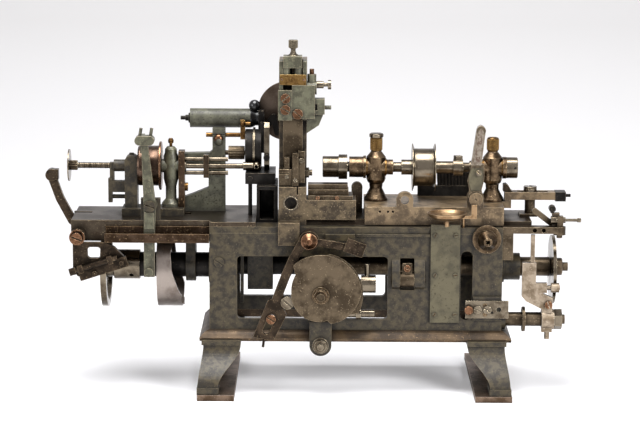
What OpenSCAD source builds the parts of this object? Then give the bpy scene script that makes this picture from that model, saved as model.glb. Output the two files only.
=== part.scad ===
// Bench screw making lathe with a sliding headstock, cam driven tool slides and a threading headstock.
// X runs along the bed to the right, Y to the back and Z up. The origin lies on the bench,
// under the middle of the whole machine. All sizes are in millimetres.

/* [Machine frame] */
// Left face of the body casting
body_left = -127.5; // [-131:0.5:-124]
// Length of the body casting along the bed
body_len = 360; // [356:1:366]
// Depth of the body casting, front to back
body_depth = 124; // [122:1:128]
// Wall of the body casting
wall = 8; // [6:0.5:9]
// Height of the body casting above its plinth
body_height = 128.5; // [126:0.5:134]
// Thickness of the deck that closes the body
deck_thick = 8; // [6:0.5:10]
// Height of the plinth moulding
plinth_height = 10; // [8:0.5:14]
// How far the plinth stands out at its foot
plinth_out = 12; // [9:0.5:14]
// Height of a leg, from foot plate to plinth
leg_height = 60.5; // [54:0.5:70]
// Width of a leg at its top
leg_width = 46; // [40:1:50]
// Thickness of the two foot plates
foot_thick = 7.5; // [5:0.5:10]
// Width of a foot plate
foot_width = 45; // [38:1:50]
// Length of a foot plate, front to back
foot_len = 232; // [226:2:240]
// Height of the window sill above the plinth
sill_rise = 13.5; // [12:0.5:16]
// Height of the front window
window_height = 78.5; // [74:0.5:82]
// Wall between the window and the lugs of the rock shaft
window_gap = 5.2; // [5:0.1:6]
// Width of the left pillar beside the window
pillar_width = 33.9; // [31:0.1:36]
// Corner radius of the window
window_corner = 5; // [3:0.5:8]
// Width of the belt slot beside the cover plate
slot_width = 14.5; // [12:0.5:16]
// Distance from the right end of the body to the left edge of the belt slot
slot_inset = 51; // [50:0.5:52]
// Height of the belt slot
slot_height = 86; // [80:1:90]

/* [Bed] */
// How far the bed reaches out past the left end of the body
bed_reach = 170.5; // [168:0.5:174]
// Distance from the raised left bed to the tool column
chip_gap = 28; // [27:0.5:31]
// How far the left bed stands above the deck
bed_raise = 5.5; // [4:0.5:7]
// Depth of the apron under the left bed
apron_drop = 26; // [22:1:30]
// Front face of the left bed
bed_front = -52; // [-54:0.5:-51]
// Back face of the left bed
bed_back = 48; // [46:0.5:52]
// Height of the right bed ways above the deck
way_height = 7; // [5:0.5:8]
// How far the bed's right extension stands out past the body
bed_over = 36.5; // [34:0.5:41]

/* [Axes] */
// Height of both spindle axes above the deck
spindle_rise = 65.5; // [65:0.5:68]
// Depth of the camshaft axis below the deck
cam_drop = 59.5; // [58:0.5:61]
// Distance between the camshaft and the cross shaft
gear_centres = 18; // [17.5:0.5:19]
// Place of the cross shaft along the bed
cross_x = 9.5; // [8:0.5:11]
// Place of the headstock's tool line along the bed
column_x = -26; // [-27:0.5:-25]

/* [Clearances] */
// Running clearance of a shaft in its bore
run = 0.05; // [0.02:0.01:0.08]
// Gap between two surfaces that slide or pass
gap = 0.3; // [0.2:0.05:0.5]

/* [Camshaft] */
// Radius of the camshaft
cam_r = 12; // [11:0.5:13]
// Radius of the thick left part of the camshaft
sleeve_r = 15.5; // [14.5:0.5:16]
// Radius of the camshaft's neck under its gear
neck_r = 5; // [4.5:0.25:5.5]
// Radius of the drive wheel at the left end
wheel_r = 53; // [48:1:54]
// Width of the drive wheel
wheel_width = 7.5; // [6:0.5:9]
// Radius of the bell cam
bell_r = 52; // [48:1:53]
// Width of the bell cam at its widest
bell_width = 30; // [26:1:32]
// Wall of the bell cam
bell_wall = 4; // [3:0.5:6]
// Radius of the right disc cam
disc_cam_r = 43; // [40:1:44]
// How far the right disc cam runs off centre
disc_cam_throw = 7; // [5:0.5:7.5]
// Thickness of the right disc cam
disc_cam_thick = 4; // [3:0.5:5]
// Teeth of each crossed gear
gear_teeth = 8; // [7:1:9]
// Working depth of the crossed gears
gear_depth = 2.6; // [2:0.1:3]

/* [Cross shaft and plate cam] */
// Radius of the cross shaft
cross_r = 5; // [4.5:0.25:5.5]
// Largest radius of the plate cam
plate_cam_max = 50; // [46:0.5:51]
// Smallest radius of the plate cam
plate_cam_min = 32.5; // [31:0.5:34]
// Thickness of the plate cam
plate_cam_thick = 5; // [4:0.5:6]
// Front face of the plate cam
plate_cam_front = -100; // [-102:0.5:-99]
// Radius of the drum that the rocker's roller runs on
drum_r = 34; // [32:0.5:34.5]
// Radius of the roller on the rocker
roller_r = 8; // [7:0.5:8]

/* [Rocker] */
// Place of the rocker's pivot along the bed
rocker_x = -5; // [-7:0.5:-3]
// Height of the rocker's pivot below the deck
rocker_drop = 12.5; // [11:0.5:14]
// Thickness of the rocker
rocker_thick = 6; // [5:0.5:6.5]
// Radius of the rocker's hub
rocker_hub_r = 12; // [11:0.5:13]
// Radius of the rocker's pivot stud
rocker_pin_r = 6; // [5:0.5:7]

/* [Sliding headstock] */
// Radius of the headstock's spindle
spindle_r = 6; // [5:0.5:7]
// Radius of the stock tube that runs to the guide head
tube_r = 3.3; // [3:0.1:3.5]
// Radius of the headstock's belt pulley
pulley_r = 25; // [23:0.5:27]
// Width of the headstock's belt pulley
pulley_width = 31; // [29:0.5:31]
// Radius of the copper flange beside the pulley
flange_r = 30; // [28:0.5:32]
// Radius of the feed disc at the left end
feed_disc_r = 20; // [18:0.5:22]
// Travel of the headstock along the bed
headstock_travel = 8; // [6:0.5:9]

/* [Threading headstock] */
// Radius of the threading spindle
thread_r = 6.25; // [5.5:0.25:6.5]
// Radius of the die holder at its nose
nose_r = 13.3; // [12:0.1:14]
// Radius of the threading pulley's drum
drum2_r = 23.5; // [22:0.5:25]
// Width of the threading pulley's drum
drum2_width = 29; // [26:1:30]
// Radius of the threading pulley's flanges
drum2_flange_r = 29.5; // [28:0.5:31]
// Radius of a turned pillar's barrel
barrel_r = 12; // [11:0.5:12.5]
// Radius of a turned pillar's waist
waist_r = 8; // [7:0.5:9]
// Distance from the saddle's left end to the left pillar
pillar_a_inset = 14.5; // [14.5:0.25:16]
// Distance from the saddle's right end to the right pillar
pillar_b_inset = 11.5; // [10:0.25:12]
// Travel of the threading spindle towards the work
quill_travel = 9; // [6:0.5:9]
// Distance from the tool line to the saddle
saddle_gap = 89; // [88:0.5:92]
// How far the saddle stands out past the right end of the body
saddle_over = 1.5; // [0.5:0.5:3]
// Thickness of the saddle
saddle_thick = 17; // [15:0.5:18]

/* [Tool column] */
// Width of the tool column
column_width = 34; // [32:0.5:35]
// Depth of the column's slide way
column_depth = 22; // [20:0.5:24]
// Radius of the index disc behind the column
index_r = 37.5; // [34:0.5:38]

/* [Levers] */
// Distance from the left end of the bed to the feed lever's pivot
feed_inset = 9; // [8:0.25:10]
// Height of the feed lever's pivot below the bed top
feed_drop = 18.5; // [17.5:0.5:20]
// Distance from the body's left end to the belt shifter's pivot
shifter_out = 72.5; // [71.5:0.5:73.5]
// Height of the belt shifter's pivot above the bed top
shifter_rise = 20.5; // [19.5:0.5:22]
// Distance from the right pillar to the threading lever's pivot
lever_inset = 24; // [23.5:0.25:24.5]
// Height of the threading lever's pivot above the saddle
lever_rise = 12; // [11.5:0.25:12.5]
// Height of the bored lug's centre above the saddle
lug_rise = 8.5; // [8:0.25:9]
// Place of the right rocker's pivot, front to back
right_rocker_y = -50; // [-51:0.5:-49.5]
// Radius of the lower shaft
low_shaft_r = 8.75; // [8:0.25:9]

/* [Hidden] */

$fn = 64;
body_right = body_left + body_len;
front_y = -body_depth / 2;
back_y = body_depth / 2;
plinth_z = foot_thick + leg_height;
sill_z = plinth_z + plinth_height;
deck_z = sill_z + body_height;
wall_top = deck_z - deck_thick;
bed_z = deck_z + bed_raise;
way_z = deck_z + way_height;
saddle_z = way_z + saddle_thick;
spindle_z = deck_z + spindle_rise;
cam_z = deck_z - cam_drop;
cross_z = cam_z - gear_centres;
window_left = body_left + pillar_width;
slot_left = body_right - slot_inset;
cover_x1 = slot_left - 1.5;
cover_x0 = cover_x1 - 36;
rock_x0 = cover_x0 - 47;
window_width = rock_x0 - window_gap - window_left;
window_right = window_left + window_width;
bed_left = body_left - bed_reach;
bed_step = column_x - 17 - chip_gap;
bed_right = body_right + bed_over;
feed_x = bed_left + feed_inset;
shifter_x = body_left - shifter_out;
saddle_left = column_x + saddle_gap;
saddle_right = body_right + saddle_over;
pillar_a_x = saddle_left + pillar_a_inset;
pillar_b_x = saddle_right - pillar_b_inset;
lever_x = pillar_b_x - lever_inset;
window_z = sill_z + sill_rise;
slot_z = sill_z + sill_rise;
drum_front = plate_cam_front + plate_cam_thick + 2.5;
rocker_z = deck_z - rocker_drop;
rocker_front = drum_front + 4.5;
rocker_back = rocker_front + rocker_thick;
feed_z = bed_z - feed_drop;
shifter_z = bed_z + shifter_rise;
lever_z = saddle_z + lever_rise;
lug_z = saddle_z + lug_rise;
low_shaft_z = sill_z + 12.5;
gear_r = gear_centres / 2;
steel = [0.55, 0.51, 0.45];
bright = [0.75, 0.72, 0.67];
dark = [0.14, 0.13, 0.12];
green = [0.38, 0.41, 0.35];
brass = [0.66, 0.50, 0.27];
copper = [0.62, 0.42, 0.28];

// Box between two opposite corners
module block(a, b) {
    translate(a) cube(b - a);
}

// Round bar along X, Y or Z between two places
module bar_x(r, x0, x1, y, z) {
    translate([x0, y, z]) rotate([0, 90, 0]) cylinder(r = r, h = x1 - x0);
}
module bar_y(r, y0, y1, x, z) {
    translate([x, y1, z]) rotate([90, 0, 0]) cylinder(r = r, h = y1 - y0);
}
module bar_z(r, z0, z1, x, y) {
    translate([x, y, z0]) cylinder(r = r, h = z1 - z0);
}

// Cone along Y from radius r0 at y0 to radius r1 at y1
module cone_y(r0, r1, y0, y1, x, z) {
    translate([x, y0, z]) rotate([-90, 0, 0]) cylinder(r1 = r0, r2 = r1, h = y1 - y0);
}

// Turned shape about an axis along X: each point is a place along X and a radius
module turned_x(points, y, z) {
    translate([0, y, z]) rotate([0, 90, 0]) rotate_extrude()
        polygon([for (p = points) [p[1], p[0]]]);
}
module turned_z(points, x, y) {
    translate([x, y, 0]) rotate_extrude() polygon([for (p = points) [p[1], p[0]]]);
}

// Plate with an outline in X and Z, between two places along Y
module plate_y(points, y0, y1) {
    translate([0, y1, 0]) rotate([90, 0, 0]) linear_extrude(y1 - y0) polygon(points);
}
// Plate with an outline in Y and Z, between two places along X
module plate_x(points, x0, x1) {
    translate([x0, 0, 0]) rotate([90, 0, 90]) linear_extrude(x1 - x0) polygon(points);
}

// Opening with rounded corners through a wall that faces Y
module window_y(x0, z0, w, h, r, y0, y1) {
    translate([x0, y1, z0]) rotate([90, 0, 0]) linear_extrude(y1 - y0) union() {
        translate([r, 0]) square([w - 2 * r, h]);
        translate([0, r]) square([w, h - 2 * r]);
        for (x = [r, w - r], z = [r, h - r]) translate([x, z]) circle(r);
    }
}

// Straight link of constant width between two centres, with round ends, in a plane that faces Y
module link_y(a, b, w, y0, y1) {
    d = b - a;
    n = [-d[1], d[0]] / norm(d) * w / 2;
    bar_y(w / 2, y0, y1, a[0], a[1]);
    bar_y(w / 2, y0, y1, b[0], b[1]);
    plate_y([a + n, a - n, b - n, b + n], y0, y1);
}

// Slotted screw head that faces the front
module slotted_head(x, z, y0, y1, r, turn) {
    difference() {
        bar_y(r, y0, y1, x, z);
        translate([x, y0, z]) rotate([0, turn, 0])
            cube([2 * r + 1, 2, r / 3.5], center = true);
    }
}

// Helical gear about Z with thin trapezoid teeth, standing on its own origin
module helical_gear(teeth, pitch_r, depth, length, bore_r) {
    root_r = pitch_r - depth / 2 - 0.3;
    tip_r = pitch_r + depth / 2;
    step = 360 / teeth;
    tooth = [[root_r, -0.33], [root_r, -0.2], [tip_r, -0.075], [tip_r, 0.075], [root_r, 0.2], [root_r, 0.33]];
    outline = [for (i = [0 : teeth - 1], p = tooth)
        p[0] * [cos((i + p[1]) * step), sin((i + p[1]) * step)]];
    turn = length / pitch_r * 180 / PI;
    difference() {
        rotate([0, 0, -turn / 2])
            linear_extrude(length, twist = -turn, slices = 14, center = true) polygon(outline);
        cylinder(r = bore_r, h = length + 2, center = true);
    }
}

// Radius of the plate cam at an angle counted from the right, anticlockwise seen from the front
function between(a, b, t) = a + (b - a) * t;
function plate_cam_radius(a) =
    a < -20 ? between(plate_cam_min + 4.5, plate_cam_max - 5, (a + 71) / 51) :
    a < 5 ? between(plate_cam_max - 5, plate_cam_max, (a + 20) / 25) :
    a < 132 ? plate_cam_max :
    a < 140 ? between(plate_cam_max, plate_cam_max - 10.5, (a - 132) / 8) :
    a < 175 ? between(plate_cam_max - 10.5, plate_cam_min + 3.5, (a - 140) / 35) :
    between(plate_cam_min + 3.5, plate_cam_min, (a - 175) / 105);

// Smooth step from 0 to 1 with level ends
function ease(t) = 0.5 - 0.5 * cos(180 * t);

// Two flat bars that carry the legs and stand on the bench
module foot_plates() {
    color(copper) for (x = [body_left + 9.5, body_right - 11.5])
        block([x - foot_width / 2, -foot_len / 2, 0], [x + foot_width / 2, foot_len / 2, foot_thick]);
}

// One cabriole leg: its front outline and its side outline are both S-curves
module leg(side, rear) {
    steps = 14;
    z0 = foot_thick;
    block_h = 8;
    cap_h = 6;
    top_z = plinth_z - cap_h;
    outer = side < 0 ? body_left - 7 : body_right + 3.5;
    inner = outer - side * leg_width;
    foot_inner = outer - side * 24 + side * 5;
    foot_outer = outer + side * 5.5;
    top_y = front_y - plinth_out - 6;
    foot_y = -foot_len / 2 + 4;
    zs = [for (i = [0 : steps]) z0 + block_h + (top_z - z0 - block_h) * i / steps];
    front_face = [
        for (i = [0 : steps]) [between(foot_outer, outer, ease(i / steps)), zs[i]],
        for (i = [steps : -1 : 0]) [between(foot_inner, inner, ease(i / steps)), zs[i]]];
    side_face = [
        for (i = [0 : steps]) [between(foot_y, top_y, ease(i / steps)), zs[i]],
        for (i = [steps : -1 : 0]) [between(foot_y + 36, top_y + 44, ease(i / steps)), zs[i]]];
    x0 = min(outer, inner);
    x1 = max(outer, inner);
    mirror([0, rear ? 1 : 0, 0]) {
        intersection() {
            plate_y(front_face, -foot_len / 2, 0);
            plate_x(side_face, x0 - 20, x1 + 20);
        }
        block([min(foot_inner, foot_outer) - 1, foot_y - 2, z0],
            [max(foot_inner, foot_outer) + 1, foot_y + 38, z0 + block_h]);
        block([x0 - (side < 0 ? 2 : 0), top_y - 2, top_z], [x1 + (side > 0 ? 2 : 0), top_y + 46, plinth_z]);
    }
}

// Four legs, bolted between the foot plates and the plinth
module legs() {
    color(green) for (side = [-1, 1], rear = [false, true]) leg(side, rear);
}

// Ogee moulding round the foot of the body, with mitred corners and open inside
module plinth() {
    profile = [[0, 10], [2, 9.5], [5, 8], [8, 5.5], [10, 3], [11.2, 1.6], [12, 1.2], [12, 0]];
    scale_out = plinth_out / 12;
    scale_up = plinth_height / 10;
    rise = [for (p = profile) [p[0] * scale_out, plinth_z + p[1] * scale_up]];
    last = len(rise) - 1;
    fall = [for (i = [last : -1 : 0]) rise[i]];
    across = [for (p = rise) [back_y + p[0], p[1]], for (p = fall) [front_y - p[0], p[1]]];
    along = [for (p = rise) [body_right + p[0], p[1]], for (p = fall) [body_left - p[0], p[1]]];
    color(copper) difference() {
        intersection() {
            plate_x(across, body_left - 20, body_right + 20);
            plate_y(along, front_y - 20, back_y + 20);
        }
        block([body_left + wall, front_y + wall, plinth_z - 1],
            [body_right - wall, back_y - wall, sill_z + 1]);
    }
}

// Rounded lug on the front wall that carries the rock shaft
module wall_lug(x0, x1) {
    plate_x([[front_y, rock_z - 12], [front_y - 6, rock_z - 8], [front_y - 8, rock_z],
        [front_y - 7, rock_z + 12], [front_y - 3, rock_z + 20], [front_y, rock_z + 25]], x0, x1);
    bar_x(9.5, x0, x1, rock_y, rock_z);
}
rock_y = front_y + 1;
rock_z = cam_z - 5.4;
rock_x1 = rock_x0 + 40;
recess_x0 = rock_x0 + 9.6;
recess_x1 = rock_x0 + 27.4;
rock_r = 5;

// Front wall with the window, the belt slot, the recess of the rock shaft and the bracket pad
module front_wall() {
    color(green) difference() {
        union() {
            block([body_left, front_y, sill_z], [body_right, front_y + wall, wall_top]);
            wall_lug(rock_x0, recess_x0);
            wall_lug(recess_x1, rock_x1);
            block([slot_left + slot_width + 1, front_y - 4, slot_z],
                [body_right - 0.5, front_y, slot_z + 30]);
            block([cross_x + 43.5, front_y - 3, wall_top - 3], [cover_x0 - 1, front_y, wall_top]);
            block([cross_x + 5.5, front_y - 4, wall_top - 8], [cross_x + 41.5, front_y, wall_top]);
        }
        window_y(window_left, window_z, window_width, window_height, window_corner,
            front_y - 1, front_y + wall + 1);
        window_y(slot_left, slot_z, slot_width, slot_height, slot_width / 2 - 0.5,
            front_y - 1, front_y + wall + 1);
        block([recess_x0, front_y - 12, rock_z - 13], [recess_x1, front_y + wall + 1, rock_z + 27]);
        bar_x(rock_r + run, rock_x0 - 1, rock_x1 + 1, rock_y, rock_z);
        bar_y(crank_r + run, front_y - 1, front_y + wall + 1, crank_x, crank_z);
        bar_y(rocker_pin_r, front_y - 1, front_y + wall + 1, rocker_x, rocker_z);
        bar_y(2.5, front_y - 1, front_y + wall + 1, body_left + 11.8, cam_z + 15.4);
    }
    color(copper) slotted_head(body_left + 11.8, cam_z + 15.4, front_y - 3, front_y, 6, 35);
    color(copper) bar_y(2.5, front_y, front_y + wall, body_left + 11.8, cam_z + 15.4);
}

// Rear wall with a window opposite the front one
module rear_wall() {
    color(green) difference() {
        block([body_left, back_y - wall, sill_z], [body_right, back_y, wall_top]);
        window_y(window_left, sill_z + 18, window_width, window_height - 6, window_corner,
            back_y - wall - 1, back_y + 1);
    }
}

// End walls with the two camshaft bearings and the seat of the lower shaft
module end_walls() {
    inner = front_y + wall;
    color(green) difference() {
        union() {
            block([body_left, inner, sill_z], [body_left + wall, -inner, wall_top]);
            bar_x(22, body_left - 3, body_left + wall + 9, 0, cam_z);
        }
        bar_x(sleeve_r + run, body_left - 4, body_left + wall + 10, 0, cam_z);
    }
    color(green) difference() {
        union() {
            block([body_right - wall, inner, sill_z], [body_right, -inner, wall_top]);
            bar_x(17, body_right - wall - 6, body_right + 26, 0, cam_z);
            bar_x(20, body_right, body_right + 6, 0, cam_z);
            bar_x(low_shaft_r + 4, body_right, body_right + 5, right_rocker_y, low_shaft_z);
        }
        bar_x(cam_r + run, body_right - wall - 8, body_right + 27, 0, cam_z);
        bar_x(low_shaft_r, body_right, body_right + 6, right_rocker_y, low_shaft_z);
    }
}

// Deck that closes the body and carries the bed
module deck() {
    color(green) difference() {
        block([body_left, front_y, wall_top], [body_right, back_y, deck_z]);
        bar_y(rocker_pin_r, front_y - 1, front_y + wall + 1, rocker_x, rocker_z);
        bar_y(crank_r + run, front_y - 1, front_y + wall + 1, crank_x, crank_z);
        bar_y(9 + gap, front_y + wall, front_y + wall + 6, crank_x, crank_z);
    }
}

// Left bed: a slab with an apron, a slot at its end for the feed lever and the pivot's bore
module left_bed() {
    slab = 8;
    under = bed_z - slab;
    skirt = bed_z - apron_drop;
    color(steel) difference() {
        union() {
            block([bed_left, bed_front, under], [body_left, bed_back, bed_z]);
            block([body_left - 0.01, front_y, deck_z], [bed_step, back_y, bed_z]);
            block([bed_left, bed_front, skirt], [body_left, bed_front + slab, bed_z]);
            block([bed_left, bed_back - slab, skirt], [body_left, bed_back, bed_z]);
            block([bed_left, bed_front, skirt], [bed_left + slab, bed_back, bed_z]);
            block([feed_x - 11, arm_y1 + 1, skirt], [feed_x + 11, arm_y1 + 7, bed_z]);
        }
        block([bed_left - 1, arm_y0 - gap, skirt - 1], [feed_x + 12, arm_y1 + gap, bed_z + 1]);
        bar_y(feed_pin_r + run, bed_front - 1, arm_y1 + 8, feed_x, feed_z);
        block([shifter_x - 36, -7 - run, bed_z - 4], [shifter_x + 39 + headstock_travel, 7 + run, bed_z + 1]);
    }
}
arm_y0 = 1;
arm_y1 = 8;
feed_pin_r = 5;

// Right bed: raised ways under the saddle and the grey extension past the body
module right_bed() {
    way_front = -44;
    way_back = 38;
    left_end = column_x + 17;
    color(steel) {
        plate_x([[way_front, deck_z], [way_front + 3, way_z], [way_back - 3, way_z], [way_back, deck_z]],
            left_end, body_right);
        block([body_right, way_front, deck_z - 3], [bed_right, way_back, deck_z + 5.5]);
    }
    color(dark) {
        block([saddle_left - 15.8, 4, way_z], [saddle_left - 2.2, 12, base_top - 9]);
        bar_y(7, 4, 12, saddle_left - 9, base_top - 9);
    }
}

// Folded gutter in front of the left bed, slotted for the belt shifter
module gutter_rail() {
    x0 = bed_left + 43;
    x1 = body_left;
    top = bed_z - 7;
    low = bed_z - 24;
    lip = bed_front - 22;
    slot_half = shifter_half + 5;
    color(copper) difference() {
        plate_x([[bed_front, top], [bed_front, low], [lip, low], [lip, low + 11], [lip + 2.2, low + 11],
            [lip + 2.2, low + 2.2], [bed_front - 2.2, low + 2.2], [bed_front - 2.2, top]], x0, x1);
        block([shifter_x - slot_half, shifter_y0 - 1.5, low - 1],
            [shifter_x + slot_half, shifter_y1 + 1.5, low + 3]);
    }
}
shifter_half = 7.5;
shifter_y0 = -67;
shifter_y1 = -60;

// Painted cover over the belt opening with its six slotted screws
module cover_plate() {
    color([0.46, 0.50, 0.42]) block([cover_x0, front_y - 4, sill_z + 10.5], [cover_x1, front_y, deck_z + 4.5]);
    color(copper) for (x = [cover_x0 + 5.5, cover_x1 - 5.5], z = [sill_z + 21, cam_z + 1.2, deck_z - 8.5])
        slotted_head(x, z, front_y - 5.4, front_y - 4, 3, x * 2);
}

// Lug under the bed for the left end of the camshaft, the bearing block in the window, and a catch strip
module camshaft_hanger() {
    x0 = body_left - 31.5;
    x1 = body_left - 19.5;
    block_x0 = window_left + 11.6;
    block_x1 = block_x0 + 31.5;
    color(green) difference() {
        union() {
            plate_x([[-19, cam_z + 6], [-12, bed_z - 8], [12, bed_z - 8], [19, cam_z + 6]], x0, x1);
            bar_x(20.5, x0, x1, 0, cam_z);
        }
        bar_x(sleeve_r + run, x0 - 1, x1 + 1, 0, cam_z);
    }
    color(green) difference() {
        block([block_x0, -14, cam_z - 28.5], [block_x1, 14, wall_top]);
        bar_x(cam_r + run, block_x0 - 1, block_x1 + 1, 0, cam_z);
    }
    color(copper) block([block_x0 - 8.5, -22, cam_z - 44], [block_x0 - 4.5, -19, wall_top]);
}

// Bracket on the front wall: bearing of the cross shaft, hanging arm and stop rods
module cross_bracket() {
    half = 13.5;
    back = rocker_back + 1.5;
    arm_z = sill_z + 15;
    color(green) difference() {
        union() {
            block([cross_x - half, back, sill_z + 1], [cross_x + half, front_y, cross_z + 14]);
            block([cross_x - half, rocker_front + 1, sill_z + 1], [cross_x + half, back + 1, arm_z]);
            bar_y(half, rocker_front + 1, -plinth_clear, cross_x, stud_z);
            block([cross_x - half, rocker_front + 1, stud_z], [cross_x + half, -plinth_clear, arm_z]);
            bar_y(9.5, front_y - 1, -gear_half - 2, cross_x, cross_z);
        }
        bar_y(cross_r + run, back - 1, -gear_half - 1, cross_x, cross_z);
        bar_y(4, rocker_front, -plinth_clear + 1, cross_x, stud_z);
    }
}
plinth_clear = body_depth / 2 + plinth_out + 1;
stud_z = plinth_z - 4;
gear_half = 12;

// Stepped stud in the hanging arm, and the two stop rods with their collars beside the cam
module bracket_studs() {
    arm_face = rocker_front + 1;
    color(bright) {
        bar_y(4, arm_face, -plinth_clear, cross_x, stud_z);
        bar_y(10, arm_face - 3, arm_face, cross_x, stud_z);
        bar_y(7.5, arm_face - 8, arm_face - 3, cross_x, stud_z);
        bar_y(4, arm_face - 13, arm_face - 8, cross_x, stud_z);
    }
    stop_y = front_y - 5;
    color(bright) {
        bar_x(6, cross_x + 13.5, window_right - 21.8, stop_y, cross_z + 8);
        bar_x(11, window_right - 32.8, window_right - 14.8, stop_y, cross_z + 8);
        bar_z(3.2, cross_z + 18, cross_z + 33, window_right - 25.8, stop_y);
        bar_x(5, cross_x + 13.5, window_right - 16.3, stop_y, sill_z + 22);
        bar_x(7.5, window_right - 38.8, window_right - 32.8, stop_y, sill_z + 22);
    }
    plate_y0 = front_y - 7;
    hole_x = body_right - 4;
    color(bright) difference() {
        block([slot_left + 6, plate_y0, sill_z + 17], [body_right + 8, plate_y0 + 3, sill_z + 39]);
        bar_y(3, plate_y0 - 1, plate_y0 + 4, hole_x, sill_z + 28);
    }
    color(copper) for (x = [slot_left + 21, body_right - 18])
        slotted_head(x, sill_z + 28, plate_y0 - 2.5, plate_y0, 5, x);
    color(brass) bar_y(5, plate_y0 - 6, plate_y0, slot_left + 10, sill_z + 28);
}

// Left part of the camshaft, from the drive wheel to the gear, with the spigot of the right part
module camshaft_left() {
    gear_x0 = cross_x - gear_half;
    gear_x1 = cross_x + gear_half;
    color(dark) turned_x([[bed_left + 30, 0], [bed_left + 30, 8], [bed_left + 49, 8],
        [bed_left + 49, sleeve_r],
        [body_left + wall + 14, sleeve_r], [body_left + wall + 16, cam_r], [gear_x0 - 4, cam_r],
        [gear_x0, neck_r], [gear_x1 + 16, neck_r], [gear_x1 + 16, 0]], 0, cam_z);
}

// Right part of the camshaft, pinned over the spigot, with the seat of the disc cam
module camshaft_right() {
    x0 = cross_x + gear_half;
    color(steel) difference() {
        turned_x([[x0, 0], [x0, neck_r + 1], [x0 + 4, cam_r], [disc_cam_x - 1, cam_r], [disc_cam_x, 8],
            [disc_cam_x + disc_cam_thick, 8], [disc_cam_x + disc_cam_thick, 11], [disc_cam_x + 14, 11],
            [disc_cam_x + 15, 9.5], [disc_cam_x + 15, 5.5], [disc_cam_x + 22, 5.5], [disc_cam_x + 22, 0]],
            0, cam_z);
        bar_x(neck_r, x0 - 1, x0 + 16, 0, cam_z);
    }
}
disc_cam_x = body_right + 64.5;

// Crossed helical gear on the camshaft's neck
module camshaft_gear() {
    color(bright) translate([cross_x, 0, cam_z]) rotate([0, 90, 0]) rotate([0, 0, 180 / gear_teeth])
        helical_gear(gear_teeth, gear_r, gear_depth, 2 * gear_half - 0.02, neck_r);
}

// Drive wheel with its thin web, and the bright collar beside it with its set screw hole
module drive_wheel() {
    x0 = bed_left + 35;
    x1 = x0 + wheel_width;
    cx = bed_left + 49;
    color(bright) {
        difference() {
            turned_x([[x0, 0], [x0, wheel_r], [x1, wheel_r], [x1, wheel_r - 8], [x0 + 3, wheel_r - 11],
                [x0 + 3, 17], [x1 + 6, 15], [x1 + 6, 0]], 0, cam_z);
            bar_x(8, x0 - 1, x1 + 7, 0, cam_z);
        }
        difference() {
            bar_x(sleeve_r + 3, cx, cx + 32, 0, cam_z);
            bar_x(sleeve_r, cx - 1, cx + 33, 0, cam_z);
            translate([cx + 22, 0, cam_z]) rotate([128, 0, 0]) cylinder(r = 3, h = 30);
        }
    }
}

// Bell cam: a drum open to the left whose right rim is cut to the cam's rise, with a trip dog
module bell_cam() {
    x0 = bell_x;
    x1 = x0 + bell_width;
    color(steel) difference() {
        turned_x([[x0, bell_r - bell_wall], [x0, bell_r], [x1, bell_r], [x1, bell_r - bell_wall],
            [x0 + 14, bell_r - bell_wall], [x0 + 12, sleeve_r + 6], [x0 + 15, sleeve_r + 5],
            [x0 + 15, sleeve_r], [x0 + 2, sleeve_r], [x0 + 2, sleeve_r + 6], [x0 + 8, bell_r - bell_wall]],
            0, cam_z);
        plate_y([[x0 + 26, cam_z + bell_r + 1], [x0 + 23, cam_z + 41], [x0 + 17, cam_z + 23],
            [x0 + 19, cam_z + 1], [x0 + 26, cam_z - 22], [x1 + 1, cam_z - 34], [x1 + 1, cam_z + bell_r + 1]],
            -bell_r - 1, bell_r + 1);
    }
    color(copper) translate([0, 0, cam_z]) rotate([-27, 0, 0])
        block([x1 - 1, -3, -bell_r + 0.7], [x1 + 3.2, 3, -bell_r + 9]);
}
bell_x = body_left - 36 - bell_width;

// Disc cam at the right end, an eccentric
module disc_cam() {
    away = [0, -cos(dead_angle), -sin(dead_angle)] * disc_cam_throw;
    color(bright) difference() {
        bar_x(disc_cam_r, disc_cam_x, disc_cam_x + disc_cam_thick, away[1], cam_z + away[2]);
        bar_x(8, disc_cam_x - 1, disc_cam_x + disc_cam_thick + 1, 0, cam_z);
    }
}
right_roller_z = cam_z - 16;
right_roller_r = 6;
right_roller_reach = disc_cam_r + disc_cam_throw + right_roller_r + gap;
right_roller_y = -sqrt(right_roller_reach ^ 2 - (cam_z - right_roller_z) ^ 2);
dead_angle = asin((cam_z - right_roller_z) / right_roller_reach);

// Outline of the plate cam, between two places along Y
module cam_rim(y0, y1) {
    translate([cross_x, y1, cross_z]) rotate([90, 0, 0]) linear_extrude(y1 - y0)
        polygon([for (a = [-71 : 4 : 285]) plate_cam_radius(a) * [cos(a), sin(a)]]);
}

// Cross shaft, driven by the crossed gear, with the drum that the rocker's roller rests on
module cross_shaft() {
    color(steel) {
        bar_y(cross_r, plate_cam_front - 14, gear_half, cross_x, cross_z);
        difference() {
            union() {
                intersection() {
                    bar_y(drum_r, drum_front, rocker_back - 0.2, cross_x, cross_z);
                    cam_rim(drum_front, rocker_back - 0.2);
                }
                bar_y(9.5, rocker_back - 0.2, rocker_back + 1.5 - gap, cross_x, cross_z);
            }
            bar_y(cross_r, drum_front - 1, rocker_back + 3, cross_x, cross_z);
        }
    }
}

// Crossed helical gear on the cross shaft
module cross_gear() {
    color(bright) translate([cross_x, 0, cross_z]) rotate([90, 0, 0])
        helical_gear(gear_teeth, gear_r, gear_depth, 2 * gear_half - 0.02, cross_r);
}

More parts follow.
